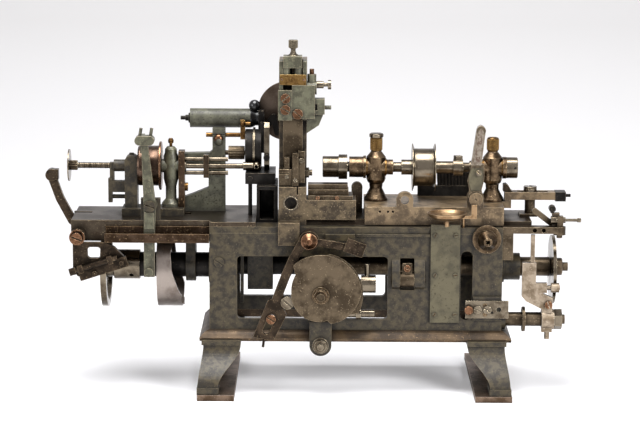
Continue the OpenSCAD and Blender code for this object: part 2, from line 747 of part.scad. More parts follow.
// Plate cam and the thin plate behind it, which shows past its right edge
module plate_cam() {
    color(steel) difference() {
        cam_rim(plate_cam_front, plate_cam_front + plate_cam_thick);
        bar_y(cross_r, plate_cam_front - 1, drum_front + 1, cross_x, cross_z);
    }
    color(bright) difference() {
        intersection() {
            bar_y(plate_cam_max + 1.5, plate_cam_front + plate_cam_thick, drum_front, cross_x, cross_z);
            plate_y([[cross_x - 12, cross_z - 29], [cross_x + 60, cross_z - 22], [cross_x + 60, cross_z + 60],
                [cross_x - 24, cross_z + 43], [cross_x - 30, cross_z]], plate_cam_front, drum_front);
        }
        bar_y(cross_r, plate_cam_front - 1, drum_front + 1, cross_x, cross_z);
    }
}

// Washer and hexagon nut that clamp the plate cam
module cam_nut() {
    color(bright) difference() {
        union() {
            bar_y(10.5, plate_cam_front - 2, plate_cam_front, cross_x, cross_z);
            translate([cross_x, plate_cam_front - 2, cross_z]) rotate([90, 0, 0])
                cylinder(r = 9, h = 7, $fn = 6);
        }
        bar_y(cross_r, plate_cam_front - 10, plate_cam_front + 1, cross_x, cross_z);
    }
}

// Bell-crank rocker: hub, curved arm round the cam, slotted quadrant and right arm with its tilted block
module rocker_arm() {
    hub = [rocker_x, rocker_z];
    knee = [[hub[0] - 9, hub[1] - 4], [hub[0] - 20, hub[1] - 24], [hub[0] - 29, hub[1] - 45],
        [hub[0] - 36, hub[1] - 64], [hub[0] - 41, hub[1] - 78]];
    slot_a = [hub[0] - 44, hub[1] - 92];
    slot_b = [hub[0] - 52, hub[1] - 112];
    lug_back = rocker_back + 4;
    color(steel) difference() {
        union() {
            bar_y(rocker_hub_r, rocker_front, rocker_back, hub[0], hub[1]);
            for (i = [0 : len(knee) - 2]) link_y(knee[i], knee[i + 1], 11, rocker_front, rocker_back);
            plate_y([[hub[0] - 50, hub[1] - 74], [hub[0] - 38, hub[1] - 70], [hub[0] - 27, hub[1] - 92],
                [hub[0] - 43, hub[1] - 124.5], [hub[0] - 68, hub[1] - 120]], rocker_front, rocker_back);
            link_y(hub, [hub[0] + 44, hub[1] - 7], 9, rocker_front, rocker_back);
            translate([hub[0] + 56, rocker_back, hub[1] - 7]) rotate([0, 20, 0])
                translate([-12, -10, -9]) cube([24, 10, 17]);
            link_y([roller_x, roller_z], [hub[0] - 38, hub[1] - 72], 10, rocker_back, lug_back);
        }
        bar_y(rocker_pin_r + run, rocker_front - 1, rocker_back + 1, hub[0], hub[1]);
        rocker_slot(slot_a, slot_b, 9);
        bar_y(3, rocker_front - 1, lug_back + 1, roller_x, roller_z);
        bar_y(roller_r + gap, rocker_front - 1, rocker_back, roller_x, roller_z);
    }
    color(copper) {
        block_c = (slot_a * 0.75 + slot_b * 0.25);
        slotted_head(block_c[0], block_c[1], rocker_front - 4.5, rocker_front, 5.5, 60);
        bar_y(4.3, rocker_front, rocker_back, block_c[0], block_c[1]);
    }
    color(steel) translate([slot_b[0] - 4, (rocker_front + rocker_back) / 2,
        slot_b[1] - 21]) rotate([0, 8, 0])
        cylinder(r = 1.6, h = 16);
}
roller_x = rocker_x - 26.2;
roller_z = cross_z - sqrt((drum_r + roller_r + gap) ^ 2 - (cross_x - roller_x) ^ 2);

// Slot with round ends through the rocker
module rocker_slot(a, b, w) {
    link_y(a, b, w, rocker_front - 1, rocker_back + 1);
}

// Roller of the rocker on its slotted stud
module rocker_roller() {
    color(bright) {
        slotted_head(roller_x, roller_z, rocker_front - 3, rocker_front, roller_r, 40);
        bar_y(roller_r, rocker_front, rocker_back, roller_x, roller_z);
        bar_y(3, rocker_back, rocker_back + 4, roller_x, roller_z);
    }
}

// Brass-capped stud that the rocker turns on, fixed in the front wall
module rocker_pivot() {
    color(copper) {
        bar_y(rocker_pin_r, rocker_front - 1, front_y + wall, rocker_x, rocker_z);
        bar_y(10, rocker_back + gap, front_y, rocker_x, rocker_z);
        cone_y(3.5, 9.5, rocker_front - 9, rocker_front - 3, rocker_x, rocker_z);
        bar_y(10, rocker_front - 3, rocker_front - gap, rocker_x, rocker_z);
    }
}

// Feed lever: shaft across the bed, arm up to the feed disc and front casting over the drive wheel
module feed_lever() {
    hub = [feed_x, feed_z];
    y0 = bed_front - 12;
    y1 = bed_front - 5;
    knee = [hub, hub + [-13, 8], hub + [-28, 36], hub + [-38, 64]];
    color(green) {
        bar_y(feed_pin_r, bed_front - 24, arm_y1 + 7, hub[0], hub[1]);
        bar_y(9.5, arm_y0, arm_y1, hub[0], hub[1]);
        for (i = [0 : len(knee) - 2]) link_y(knee[i], knee[i + 1], 10.5, arm_y0, arm_y1);
        bar_y(7.5, arm_y0 - 3, arm_y1 + 3, hub[0] - 38, hub[1] + 66);
        bar_y(9.5, y0, bed_front - gap, hub[0], hub[1]);
        bar_y(8.5, y0 - 6, y0, hub[0], hub[1]);
        difference() {
            plate_y([hub + [-6, -8], hub + [4, -7.5], hub + [34, -7.5], hub + [45, -13], hub + [56, -24],
                hub + [56, -34], hub + [0, -50], hub + [-6, -42]], y0, y1);
            window_y(hub[0] + 12, hub[1] - 27, 16, 14, 4, y0 - 1, y1 + 1);
        }
    }
    color(copper) {
        block([hub[0] - 38, arm_y0 - 2, hub[1] + 60], [hub[0] - 29.5, arm_y1 + 2, hub[1] + 73]);
        slotted_head(hub[0], hub[1], bed_front - 28, bed_front - 24, 6.5, 70);
    }
}

// Inclined slide on the feed lever with its knurled adjusting rod
module feed_lever_slide() {
    y1 = bed_front - 12;
    color(dark) translate([feed_x + 2, 0, feed_z - 48]) rotate([0, -18, 0]) {
        block([0, y1 - 6, -7], [62, y1, 6]);
        block([2, y1 - 13, 3], [8, y1 - 6, 13]);
        block([40, y1 - 13, 3], [46, y1 - 6, 13]);
        bar_x(3.2, -7, 52, y1 - 9.5, 8);
        bar_x(4.6, -9, -1, y1 - 9.5, 8);
        bar_y(2.5, y1 - 11, y1 - 6, 55, 0);
        bar_y(2.5, y1 - 11, y1 - 6, 20, -2);
    }
}

// Sliding headstock: base with its tongue, block pillar, turned pillar, guide rods and their crosspiece
module headstock() {
    base_z = bed_z + run;
    x0 = shifter_x - 38;
    x1 = shifter_x + 39;
    post_x = shifter_x + 22;
    color(dark) difference() {
        union() {
            block([x0, -22, base_z], [x1, 14, bed_z + 9]);
            block([x0 + 4, -7, bed_z - 4 + run], [x1 - 2, 7, base_z]);
            block([x0 + 3.2, -12, bed_z + 9], [x0 + 18.8, 12, spindle_z + 6]);
            bar_y(8, -12, 12, x0 + 11, spindle_z + 6);
            bar_z(3, spindle_z + 12, spindle_z + 16, x0 + 11, 0);
            bar_x(7.5, x0 - 11, x0 + 4, 0, spindle_z);
            block([x0 - 14, -5, spindle_z - 33], [x0 + 4, 5, spindle_z - 19]);
            block([x0 - 18, -5, spindle_z - 46], [x0 - 13, 5, spindle_z - 16]);
            block([x0 - 16, -4, spindle_z - 20], [x0 - 10.5, 4, spindle_z + 4]);
            bar_x(2.6, x0 - 14, x0 + 4, 0, spindle_z - 39);
        }
        bar_x(spindle_r + run, x0 - 7, x0 + 20, 0, spindle_z);
        bar_x(rod_r, x0 - 18, x0 - 6, 0, spindle_z);
    }
    color(green) difference() {
        union() {
            turned_z([[bed_z + 9, 0], [bed_z + 9, 11.5], [bed_z + 13, 11.5], [bed_z + 19, 6.6],
                [bed_z + 34, 6.4], [spindle_z - 16, 8.9], [spindle_z + 12, 8.9], [spindle_z + 16, 7.4],
                [spindle_z + 21, 7], [spindle_z + 24, 4.6], [spindle_z + 24, 0]], post_x, 0);
            bar_x(8, post_x - 11, x1 - 7, 0, spindle_z);
        }
        bar_x(spindle_r + run, post_x - 14, x1, 0, spindle_z);
    }
    color(copper) difference() {
        block([x1 - 7, -9, bed_z + 9], [x1, 9, spindle_z + 19]);
        bar_x(spindle_r + run, x1 - 8, x1 + 1, 0, spindle_z);
    }
    color(brass) {
        turned_z([[spindle_z + 24, 0], [spindle_z + 24, 1.6], [spindle_z + 28, 1.6], [spindle_z + 29, 3],
            [spindle_z + 32, 3.4], [spindle_z + 34.5, 2], [spindle_z + 34.5, 0]], post_x, 0);
        bar_x(5, x1, x1 + 4, -2, spindle_z - 26);
    }
    color(steel) {
        for (z = [spindle_z + 8.5, spindle_z - 8.5]) bar_x(2.5, x1, x1 + 54, 0, z);
        difference() {
            block([x1 + 24, -5, spindle_z - 14], [x1 + 30, 5, spindle_z + 14]);
            bar_x(tube_r + gap, x1 + 23, x1 + 31, 0, spindle_z);
        }
    }
}
rod_r = 3.5;

// Main spindle with the long stock tube and the ball end with its cross hole
module spindle() {
    x0 = shifter_x - 44;
    x1 = shifter_x + 41;
    ball_x = column_x - 45.5;
    color(bright) difference() {
        union() {
            turned_x([[x0, 0], [x0, spindle_r], [x1, spindle_r], [x1, tube_r], [ball_x - 16.5, tube_r],
                [ball_x - 16.5, 5.2], [ball_x - 4, 5.2], [ball_x - 4, 0]], 0, spindle_z);
            translate([ball_x, 0, spindle_z]) sphere(r = 5.9);
        }
        bar_y(2.3, -8, 8, ball_x, spindle_z);
    }
}

// Belt pulley of the headstock with its copper flange
module headstock_pulley() {
    x0 = shifter_x - 18.5;
    color(dark) difference() {
        turned_x([[x0, 0], [x0, pulley_r - 1], [x0 + 2, pulley_r], [x0 + pulley_width - 4.5, pulley_r],
            [x0 + pulley_width - 4.5, flange_r], [x0 + pulley_width - 2, flange_r],
                [x0 + pulley_width - 2, 0]],
            0, spindle_z);
        bar_x(spindle_r, x0 - 1, x0 + pulley_width + 1, 0, spindle_z);
    }
}

// Feed rod with the dished disc that the feed lever presses
module feed_rod() {
    x0 = feed_x - 18;
    color(copper) turned_x([[x0, 0], [x0, 3], [x0 + 1.6, feed_disc_r], [x0 + 3.1, feed_disc_r],
        [x0 + 3.1, 5.3],
        [x0 + 13, 5.3], [x0 + 13, rod_r], [shifter_x - 45, rod_r], [shifter_x - 45, 0]], 0, spindle_z);
}

// Bracket on the bed with the stud of the belt shifter
module shifter_bracket() {
    color(dark) {
        block([shifter_x - 12, bed_front, bed_z], [shifter_x + 12, bed_front + 8, shifter_z + 7]);
        bar_y(4, shifter_y0 - gap, bed_front, shifter_x, shifter_z);
    }
    color(brass) slotted_head(shifter_x, shifter_z, shifter_y0 - gap - 3.5, shifter_y0 - gap, 7, 20);
}

// Belt shifter: two-armed lever with the belt fork on top
module belt_shifter() {
    top_z = spindle_z + 34;
    low_z = cam_z - 3;
    color(green) difference() {
        union() {
            plate_y([[shifter_x - 7.5, shifter_z], [shifter_x - 10, top_z + 3], [shifter_x - 2, top_z + 3],
                [shifter_x + 7.5, shifter_z], [shifter_x + 5.5, bed_z - 22], [shifter_x + 5.5, low_z],
                [shifter_x - 7.5, low_z], [shifter_x - 7.5, bed_z - 22]], shifter_y0, shifter_y1);
            bar_y(8.5, shifter_y1, bed_front - gap, shifter_x, shifter_z);
            link_y([shifter_x - 12.2, top_z + 7], [shifter_x + 0.4, top_z + 7], 11.4, shifter_y0 - 3,
                shifter_y1 + 5);
            block([shifter_x - 16, shifter_y1 + 4, top_z + 3], [shifter_x - 8, -26, top_z + 10]);
        }
        bar_y(4 + run, shifter_y0 - 1, bed_front, shifter_x, shifter_z);
    }
    color(steel) {
        for (x = [shifter_x - 12.5, shifter_x + 0.5]) translate([x, shifter_y0 + 5, top_z + 8])
            rotate([0, 9, 0]) cylinder(r = 2, h = 14);
        bar_z(2.4, top_z - 14, top_z + 4, shifter_x - 12, -29);
        bar_y(5.5, shifter_y0 - 4, shifter_y0, shifter_x - 1.5, low_z + 6);
        bar_y(3.5, shifter_y1, bed_front - 1.5, shifter_x - 1.5, low_z + 6);
        block([shifter_x - 6.5, shifter_y0 - 2, bed_z - 8], [shifter_x + 5, shifter_y0, shifter_z - 8]);
    }
}

// Fixed bracket behind the stock tube, with the clamped brass rod
module guide_bracket() {
    x1 = guide_x;
    y0 = 16;
    y1 = 30;
    color(green) difference() {
        union() {
            plate_y([[x1, bed_z], [x1, spindle_z + 45], [x1 - 16, spindle_z + 45], [x1 - 16, spindle_z + 17],
                [x1 - 20, spindle_z + 14], [x1 - 59, spindle_z + 13], [x1 - 59, spindle_z + 2],
                [x1 - 29, spindle_z - 3], [x1 - 21, spindle_z - 14], [x1 - 21, spindle_z - 30],
                [x1 - 40, spindle_z - 38], [x1 - 62, bed_z + 14], [x1 - 63, bed_z]], y0, y1);
        }
        bar_x(2.6, x1 - 17, x1 + 1, y0 + 7, rod_z);
        bar_x(knob_pin_r + run, x1 - 12, x1 + 1, knob_y, knob_z);
        block([x1 - 17, y0 - 1, rod_z + 1], [x1 + 1, y0 + 5.5, rod_z + 2]);
    }
    color(copper) intersection() {
        translate([x1 - 8, y0, rod_z - 7]) sphere(r = 5.4);
        block([x1 - 16, y0 - 8, rod_z - 15], [x1, y0, rod_z]);
    }
    color(brass) {
        bar_x(2.6, x1 - 24, x1 + 19, y0 + 7, rod_z);
        block([x1 + 19, y0 + 3, rod_z - 5], [x1 + 24.5, y0 + 10, rod_z + 19]);
        bar_x(2.4, x1 + 24.5, x1 + 31, y0 + 7, rod_z + 14);
    }
}
guide_x = bed_step - 40;
rod_z = spindle_z + 36;
knob_y = 20;
knob_z = spindle_z + 14;
knob_pin_r = 3;
head_y = 26;
head_z = spindle_z + 19;
shaft_y = 40;
shaft_z = spindle_z + 55;

// Guide head on the chip box: drum, flange, front rim, hooks and the seat of the overhead shaft
module guide_head() {
    x0 = bed_step - 15;
    color(dark) difference() {
        union() {
            bar_x(24, x0, x0 + 20, head_y, head_z);
            block([x0, 13, box_top + run], [x0 + 20, 39, head_z - 12]);
            block([x0 + 16, 26, head_z], [x0 + 23, 44, shaft_z + 11]);
            link_y([x0 + 26, head_z + 26], [x0 + 35, head_z + 38], 8, 34, 42);
            link_y([x0 + 35, head_z + 38], [x0 + 39.5, head_z + 18], 7, 34, 42);
            block([x0 + 19, 12, head_z - 4], [x0 + 24, 34, head_z + 34]);
        }
        bar_x(knob_pin_r + run, x0 - 1, x0 + 10, knob_y, knob_z);
        bar_x(6, x0 + 15, x0 + 24, shaft_y, shaft_z);
    }
    color(bright) {
        difference() {
            bar_x(26, x0 + 10, x0 + 12, head_y, head_z);
            bar_x(24, x0 + 9, x0 + 13, head_y, head_z);
            block([x0 + 9, 20, head_z - 30], [x0 + 13, 60, head_z - 12]);
        }
        plate_x([[10, head_z - 18], [15, box_top + run], [30, box_top + run], [33, head_z], [30, head_z + 30],
            [14, head_z + 34], [10, head_z + 28]], x0 + 24, x0 + 30);
        bar_y(4, 3, 10, x0 + 27, head_z - 9);
    }
}
box_top = spindle_z - 6.5;

// Fluted knob between the guide bracket and the guide head
module guide_knob() {
    x0 = guide_x + 4;
    flutes = 14;
    color(steel) {
        difference() {
            bar_x(8.5, x0, x0 + 20, knob_y, knob_z);
            for (i = [1 : flutes]) translate([x0, knob_y, knob_z]) rotate([i * 360 / flutes, 0, 0])
                bar_x(0.9, -1, 21, 0, 8.7);
        }
        bar_x(knob_pin_r, x0 - 14, x0, knob_y, knob_z);
        bar_x(knob_pin_r, x0 + 20, x0 + 29, knob_y, knob_z);
    }
}

// Overhead shaft with its end stud and ball knob
module overhead_shaft() {
    x0 = guide_x - 45;
    x1 = guide_x + 31;
    color(green) {
        bar_x(12, x0, x1, shaft_y, shaft_z);
        turned_x([[x0 - 11.5, 0], [x0 - 11.5, 2.2], [x0 - 6.5, 2.2], [x0 - 6, 3.4], [x0 - 2.5, 3.4],
            [x0 - 2, 6], [x0 + 1, 6], [x0 + 1, 0]], shaft_y, shaft_z);
    }
    color(dark) {
        bar_x(9, x1, x1 + 10, shaft_y, shaft_z);
        bar_x(6, x1 + 10, x1 + 17, shaft_y, shaft_z);
        bar_z(3, shaft_z + 8, shaft_z + 12, x1 + 5, shaft_y);
        translate([x1 + 5, shaft_y, shaft_z + 16]) sphere(r = 7);
    }
}

// Chip box beside the column, with the overhanging shelf that carries the guide head
module chip_box() {
    shelf_z = spindle_z - 20;
    color(dark) {
        difference() {
            block([bed_step + 0.5, -30, deck_z], [bed_step + 26, 34, shelf_z]);
            block([bed_step + 4, -31, deck_z + 4], [bed_step + 22, 28, shelf_z - 5]);
        }
        block([bed_step - 14, -16, shelf_z], [bed_step + 23, 42, box_top]);
        bar_z(2.5, bed_z, shelf_z, bed_step - 8, -8);
    }
    color(copper) bar_y(3.2, -18, -16, bed_step - 8, shelf_z + 7);
}

// Tool column: post with the passage for the work, base with its strap, and the arm to the right
module column() {
    post_back = post_front + column_depth + 10;
    color(green) difference() {
        union() {
            block([column_x0, post_front, deck_z], [column_x1, post_back, cover_z + 72]);
            block([column_x0, -50, deck_z], [column_x1, post_front, base_top]);
            block([column_x0, front_y - 6, wall_top - 14], [column_x0 + 26, front_y, deck_z + 6]);
            block([column_x0, front_y, deck_z], [column_x0 + 26, -50, deck_z + 6]);
            block([column_x1, -50, way_z], [saddle_left - 11, -12, base_top - 16]);
        }
        bar_y(5 + run, -8, 20, index_x, index_z);
        block([column_x0 - 1, -work_r, spindle_z - work_r], [column_x1 + 1, post_back + 1, spindle_z + work_r]);
        bar_y(7.5, -51, -40, column_x - 2, spindle_z - 38);
        block([column_x + 5, -51, base_top - 10], [column_x + 7, -40, base_top + 1]);
    }
}
column_x0 = column_x - 17;
column_x1 = column_x0 + column_width;
post_front = -20;
cover_z = spindle_z + 64;

// Head of the tool column: cheeks of the slide, cover castings, cap, brass plate and screws
module column_head() {
    x0 = column_x0;
    x1 = column_x1;
    cheek_front = post_front - column_depth;
    cheek = 4.7;
    color(green) difference() {
        union() {
            block([x0, cheek_front, cover_z], [x0 + cheek, post_front, cover_z + 72]);
            block([x1 - cheek, cheek_front, cover_z], [x1, post_front, cover_z + 72]);
            block([column_x - 1, cheek_front - 3, cover_z + 2], [x1 + 10, slide_front - gap, cover_z + 43]);
            block([x0 + 5, cheek_front - 2, cover_z + 64], [x1 - 6, post_front, cover_z + 78]);
            bar_x(8, x1, x1 + 12, -36, cover_z + 39);
            bar_z(5.5, cover_z + 40, cover_z + 56, x1 + 6, -36);
            block([x1 + 5, -42, cover_z + 7], [x1 + 22, -26, cover_z + 26]);
            plate_y([[x1, cover_z + 7], [x1 + 21, cover_z + 7], [x1 + 15, cover_z - 8], [x1, cover_z - 18]],
                -30, -25);
            for (x = [x0 + 8.5, x0 + 23.5]) bar_z(5, cover_z + 56, cover_z + 64, x, cheek_front + 4);
        }
        block([column_x - screw_r - run, screw_y - screw_r - run, cover_z + 63],
            [column_x + screw_r + run, post_front + 1, cover_z + 79]);
        block([x1 + 8, -43, cover_z + 12], [x1 + 13, -38, cover_z + 20]);
    }
    color(steel) {
        block([x0 - 1, cheek_front - 4, cover_z], [column_x - 1, cheek_front, cover_z + 37]);
        bar_z(2.4, cover_z + 56, cover_z + 62, x1 + 6, -36);
        bar_x(2.5, x1 + 22, x1 + 30, -36, cover_z + 15);
        turned_x([[x1 + 12, 0], [x1 + 12, 4.2], [x1 + 20, 4.2], [x1 + 21, 2], [x1 + 25.5, 2], [x1 + 26, 5.5],
            [x1 + 29.5, 5.5], [x1 + 29.5, 0]], -36, cover_z + 43);
    }
    color(brass) {
        block([x0 + 1, cheek_front - 2, cover_z + 43.5], [x1 - 1, cheek_front, cover_z + 56]);
        for (x = [x0 + 3.5, x1 - 3.5]) bar_y(1.3, cheek_front - 3, cheek_front - 2, x, cover_z + 50);
        for (z = [cover_z + 13, cover_z + 27])
            slotted_head(x0 + 8, z, cheek_front - 6.5, cheek_front - 4, 5.6, z * 3);
        slotted_head(column_x + 6, cover_z + 8, cheek_front - 5.5, cheek_front - 3, 6, 50);
    }
}
base_top = spindle_z - 18;
work_r = 10;
slide_front = -34;
screw_r = 4;
screw_y = -27;
index_x = column_x - 7.8;
index_z = spindle_z + 62.9;

// Vertical tool slide with its tool blocks and clamp bolt
module tool_slide() {
    x0 = column_x - 12;
    x1 = column_x + 12;
    low = base_top + 1.5;
    color(steel) difference() {
        union() {
            block([x0, slide_front, low + 6], [x1, -20 - gap, spindle_z + 96]);
            block([x0 - 5, slide_front - 12, low], [x0 + 11, -20 - gap, low + 20]);
            block([x0 + 2, slide_front - 10, low + 20], [x0 + 8, slide_front, low + 34]);
            block([x0 + 12, slide_front - 14, low], [x0 + 19, slide_front, low + 40]);
            block([x0 + 19, slide_front - 10, low + 3], [x1 + 3, -20 - gap, low + 42]);
            bar_x(3.5, x1 + 3, x1 + 12, -32, low + 14);
        }
        block([column_x - screw_r - gap, screw_y - screw_r - gap, spindle_z + 56],
            [column_x + screw_r + gap, -19, spindle_z + 97]);
        block([x0 - 6, slide_front - 13, low + 14], [x0 + 8, slide_front - 6, low + 15.2]);
    }
    color(bright) {
        difference() {
            translate([x1 + 3, -32, low + 14]) rotate([0, 90, 0]) cylinder(r = 6, h = 5, $fn = 6);
            bar_x(3.5, x1 + 2, x1 + 9, -32, low + 14);
        }
        slotted_head(x1 - 1, low + 31, slide_front - 12, slide_front - 10, 3, 30);
    }
}

// Feed screw of the tool slide with its turned knob
module slide_knob() {
    z0 = spindle_z + 72;
    cap_z = spindle_z + 142;
    color(bright) turned_z([[z0, 0], [z0, screw_r], [cap_z + gap, screw_r], [cap_z + gap, 7],
        [cap_z + 2, 4.2],
        [cap_z + 5, 3], [cap_z + 8, 3], [cap_z + 9, 5], [cap_z + 19, 5.2], [cap_z + 19, 0]],
            column_x, screw_y);
}

// Index disc behind the column
module index_disc() {
    color(copper) {
        bar_y(index_r, 50, 53, index_x, index_z);
        bar_y(9, 12 + gap, 50, index_x, index_z);
        bar_y(5, -6, 12 + gap, index_x, index_z);
    }
}

// Horizontal cross slide in front of the threading spindle, with its dark clamp bar
module cross_slide() {
    x0 = column_x + 19;
    z0 = base_top - 16 + run;
    color(steel) {
        block([x0, -48, z0], [x0 + 55, -14, z0 + 5]);
        block([x0, -44, z0 + 5], [x0 + 50, -18, z0 + 12]);
    }
    color(dark) block([x0, -40, z0 + 12], [x0 + 49, -22, z0 + 18]);
    color(copper) for (x = [x0 + 12, x0 + 36]) slotted_head(x, z0 + 2.5, -49.5, -48, 2.2, x);
}

// Saddle of the threading headstock: body, skirts, two lugs and the slotted clamp bar
module right_saddle() {
    z0 = way_z + run;
    front = -52;
    back = 44;
    lug_y = front + 8;
    stud_end = lever_y0 - gap;
    color(green) difference() {
        union() {
            block([saddle_left, front, z0], [saddle_right, back, saddle_z]);
            block([saddle_left, front, deck_z + 1.5], [saddle_right, -44 - gap, z0]);
            block([saddle_left, 38 + gap, deck_z + 1.5], [saddle_right, back, z0]);
            for (c = [[saddle_left + 49, lug_z], [lever_x, lever_z]]) {
                bar_y(10.4, front, lug_y, c[0], c[1]);
                block([c[0] - 10.2, front, saddle_z], [c[0] + 10.2, lug_y, c[1]]);
            }
        }
        bar_y(5.2, front - 1, lug_y + 1, saddle_left + 49, lug_z);
        for (x = [4, 14, 20]) bar_y(1.6, front - 1, front + 4, pillar_a_x + x, saddle_z - 6);
    }
    color(steel) difference() {
        union() {
            block([saddle_right, -9, saddle_z - 8], [saddle_right + 12, 9, saddle_z]);
            block([pillar_b_x + 15.5, -9, saddle_z], [saddle_right + 12, 9, saddle_z + 12]);
            block([saddle_right + 12, -9, saddle_z + 2.5], [saddle_right + 80, 9, saddle_z + 12]);
        }
        block([saddle_right + 20, -4.5, saddle_z], [saddle_right + 58, 4.5, saddle_z + 13]);
    }
    color(steel) {
        bar_y(lever_pin_r, stud_end, front, lever_x, lever_z);
        slotted_head(lever_x, lever_z, stud_end - 3, stud_end, 8, 15);
        bar_x(1.8, saddle_right + 80, saddle_right + 86, 0, saddle_z + 7);
    }
}
lever_y0 = -62;
lever_y1 = -53;
lever_pin_r = 6;

// Two turned pillars with their bushes
module thread_pillars() {
    color(green) for (x = [pillar_a_x, pillar_b_x]) difference() {
        union() {
            turned_z([[saddle_z, 0], [saddle_z, 14.5], [saddle_z + 3, 14.5], [saddle_z + 8, 11.5],
                [saddle_z + 15, waist_r], [saddle_z + 21, waist_r + 0.5], [saddle_z + 23, barrel_r - 1.5],
                [spindle_z - 15, barrel_r], [spindle_z + 13, barrel_r], [spindle_z + 20, 6.6],
                [cup_z, 6.2], [cup_z, 0]], x, 0);
            bar_x(barrel_r - 1.4, x - boss_half, x + boss_half, 0, spindle_z);
        }
        bar_x(thread_r + run, x - 40, x + 40, 0, spindle_z);
    }
    color(bright) difference() {
        union() {
            bar_x(13, pillar_a_x - 33.5, pillar_a_x - 16, 0, spindle_z);
            bar_x(9.5, pillar_a_x + boss_half, pillar_a_x + 21, 0, spindle_z);
            bar_x(13, pillar_b_x + 17, pillar_b_x + 30.5, 0, spindle_z);
        }
        bar_x(thread_r + run, pillar_a_x - 60, pillar_b_x + 40, 0, spindle_z);
        bar_x(1.6, pillar_b_x + 26, pillar_b_x + 31, -9.6, spindle_z + 5);
    }
    color(brass) difference() {
        union() {
            bar_x(14.2, pillar_a_x - 16, pillar_a_x - boss_half, 0, spindle_z);
            bar_x(13.6, pillar_b_x + boss_half, pillar_b_x + 17, 0, spindle_z);
        }
        bar_x(thread_r + run, pillar_a_x - 60, pillar_b_x + 40, 0, spindle_z);
    }
}

boss_half = barrel_r + 0.6;

// Oil cups on the two pillars: knurled brass sleeves, the left one with a lip
module oil_cups() {
    color(brass) {
        turned_z([[cup_z, 0], [cup_z, 7.2], [cup_z + 16, 7], [cup_z + 17, 8.6], [cup_z + 20, 8.8],
            [cup_z + 21.5, 7], [cup_z + 21.5, 0]], pillar_a_x, 0);
        turned_z([[cup_z, 0], [cup_z, 6.6], [cup_z + 1.5, 7.3], [cup_z + 15.5, 7.3], [cup_z + 17, 6.4],
            [cup_z + 17, 5], [cup_z + 15.5, 5], [cup_z + 15.5, 0]], pillar_b_x, 0);
    }
}
cup_z = spindle_z + 21;

// Threading spindle with its die holder, lock ring, belt pulley and set collar
module thread_spindle() {
    x0 = pillar_a_x - 66.7;
    color(bright) difference() {
        turned_x([[x0, 0], [x0, nose_r - 0.8], [x0 + 0.8, nose_r], [x0 + 20, nose_r], [x0 + 20, 15.5],
            [x0 + 30.7, 15.5], [x0 + 30.7, thread_r], [collar_x, thread_r], [collar_x, 10.5],
            [collar_x + 12, 10.5], [collar_x + 12, thread_r], [pin_x - 7.8, thread_r], [pin_x - 7.8, 8.5],
            [pin_x - 5.3, 8.5], [pin_x - 5.3, thread_r],
            [pillar_b_x + 29, thread_r], [pillar_b_x + 29, 0]], 0, spindle_z);
        bar_x(5.5, x0 - 1, x0 + 22, 0, spindle_z);
    }
    color(steel) difference() {
        translate([collar_x + 6, 0, spindle_z]) rotate([0, 0, 20]) block([-4.3, -4.3, 8], [4.3, 4.3, 15]);
        bar_x(10.5, collar_x - 4, collar_x + 16, 0, spindle_z);
    }
}

// Belt drum of the threading spindle with two flanges and a sleeve on each side
module thread_drum() {
    sleeve_x = pillar_a_x + 22.5 + quill_travel;
    px = between(sleeve_x, collar_x - drum2_width, 0.37);
    pw = drum2_width;
    color(bright) difference() {
        turned_x([[sleeve_x, 0], [sleeve_x, 9.5], [px + 2, 9.5], [px, drum2_flange_r], [px + 1, drum2_flange_r],
            [px + 3, drum2_r], [px + pw - 3, drum2_r], [px + pw - 1, drum2_flange_r],
            [px + pw, drum2_flange_r], [px + pw - 2, 7.8], [collar_x, 7.8], [collar_x, 0]], 0, spindle_z);
        bar_x(thread_r, sleeve_x - 1, collar_x + 1, 0, spindle_z);
    }
}

// Brass shift collar on the threading spindle with the pin that the lever moves
module quill_collar() {
    color(brass) {
        difference() {
            union() {
                bar_x(9.5, pin_x - 4.5, pillar_b_x - boss_half - gap, 0, spindle_z);
                bar_y(5, -16, 0, pin_x, pin_z);
            }
            bar_x(thread_r + run, pin_x - 6, pillar_b_x, 0, spindle_z);
        }
        bar_y(pin_r, lever_y0 - 1.5, -15, pin_x, pin_z);
        slotted_head(pin_x, pin_z, lever_y0 - 4, lever_y0 - 1.5, 3.2, 50);
    }
}
pin_x = lever_x + 3;
pin_z = spindle_z + 3.5;
pin_r = 3;
collar_x = pin_x - 28;

// Threading lever: hub on the saddle's stud, slotted fork and tapered handle
module thread_lever() {
    hub = [lever_x, lever_z];
    reach = [pin_x - lever_x, pin_z - lever_z];
    dir = reach / norm(reach);
    color(green) difference() {
        union() {
            bar_y(10, lever_y0, lever_y1, hub[0], hub[1]);
            plate_y([hub + [-8, 0], hub + [-8.5, 14], hub + [-10.5, 22], hub + reach + [-11, -2],
                hub + reach + [-8.5, 10], hub + reach + [6.5, 10], hub + reach + [7, -2],
                hub + [9.5, 22], hub + [7, 12], hub + [8, 0]], lever_y0 + 1, lever_y1);
        }
        bar_y(lever_pin_r + run, lever_y0 - 1, lever_y1 + 1, hub[0], hub[1]);
        link_y(hub + dir * (norm(reach) - 0.8), hub + dir * (norm(reach) + 1.2), 2 * (pin_r + gap),
            lever_y0 - 2, lever_y1 + 1);
    }
    color(bright) {
        plate_y([hub + reach + [-9.4, 9], hub + reach + [-7.6, 22], hub + reach + [-3.2, 51],
            hub + reach + [7.4, 51], hub + reach + [4.4, 22], hub + reach + [3, 9]], lever_y0 + 1, lever_y1);
        bar_y(5.7, lever_y0 + 0.5, lever_y1, hub[0] + reach[0] + 2.2, hub[1] + reach[1] + 51);
    }
}

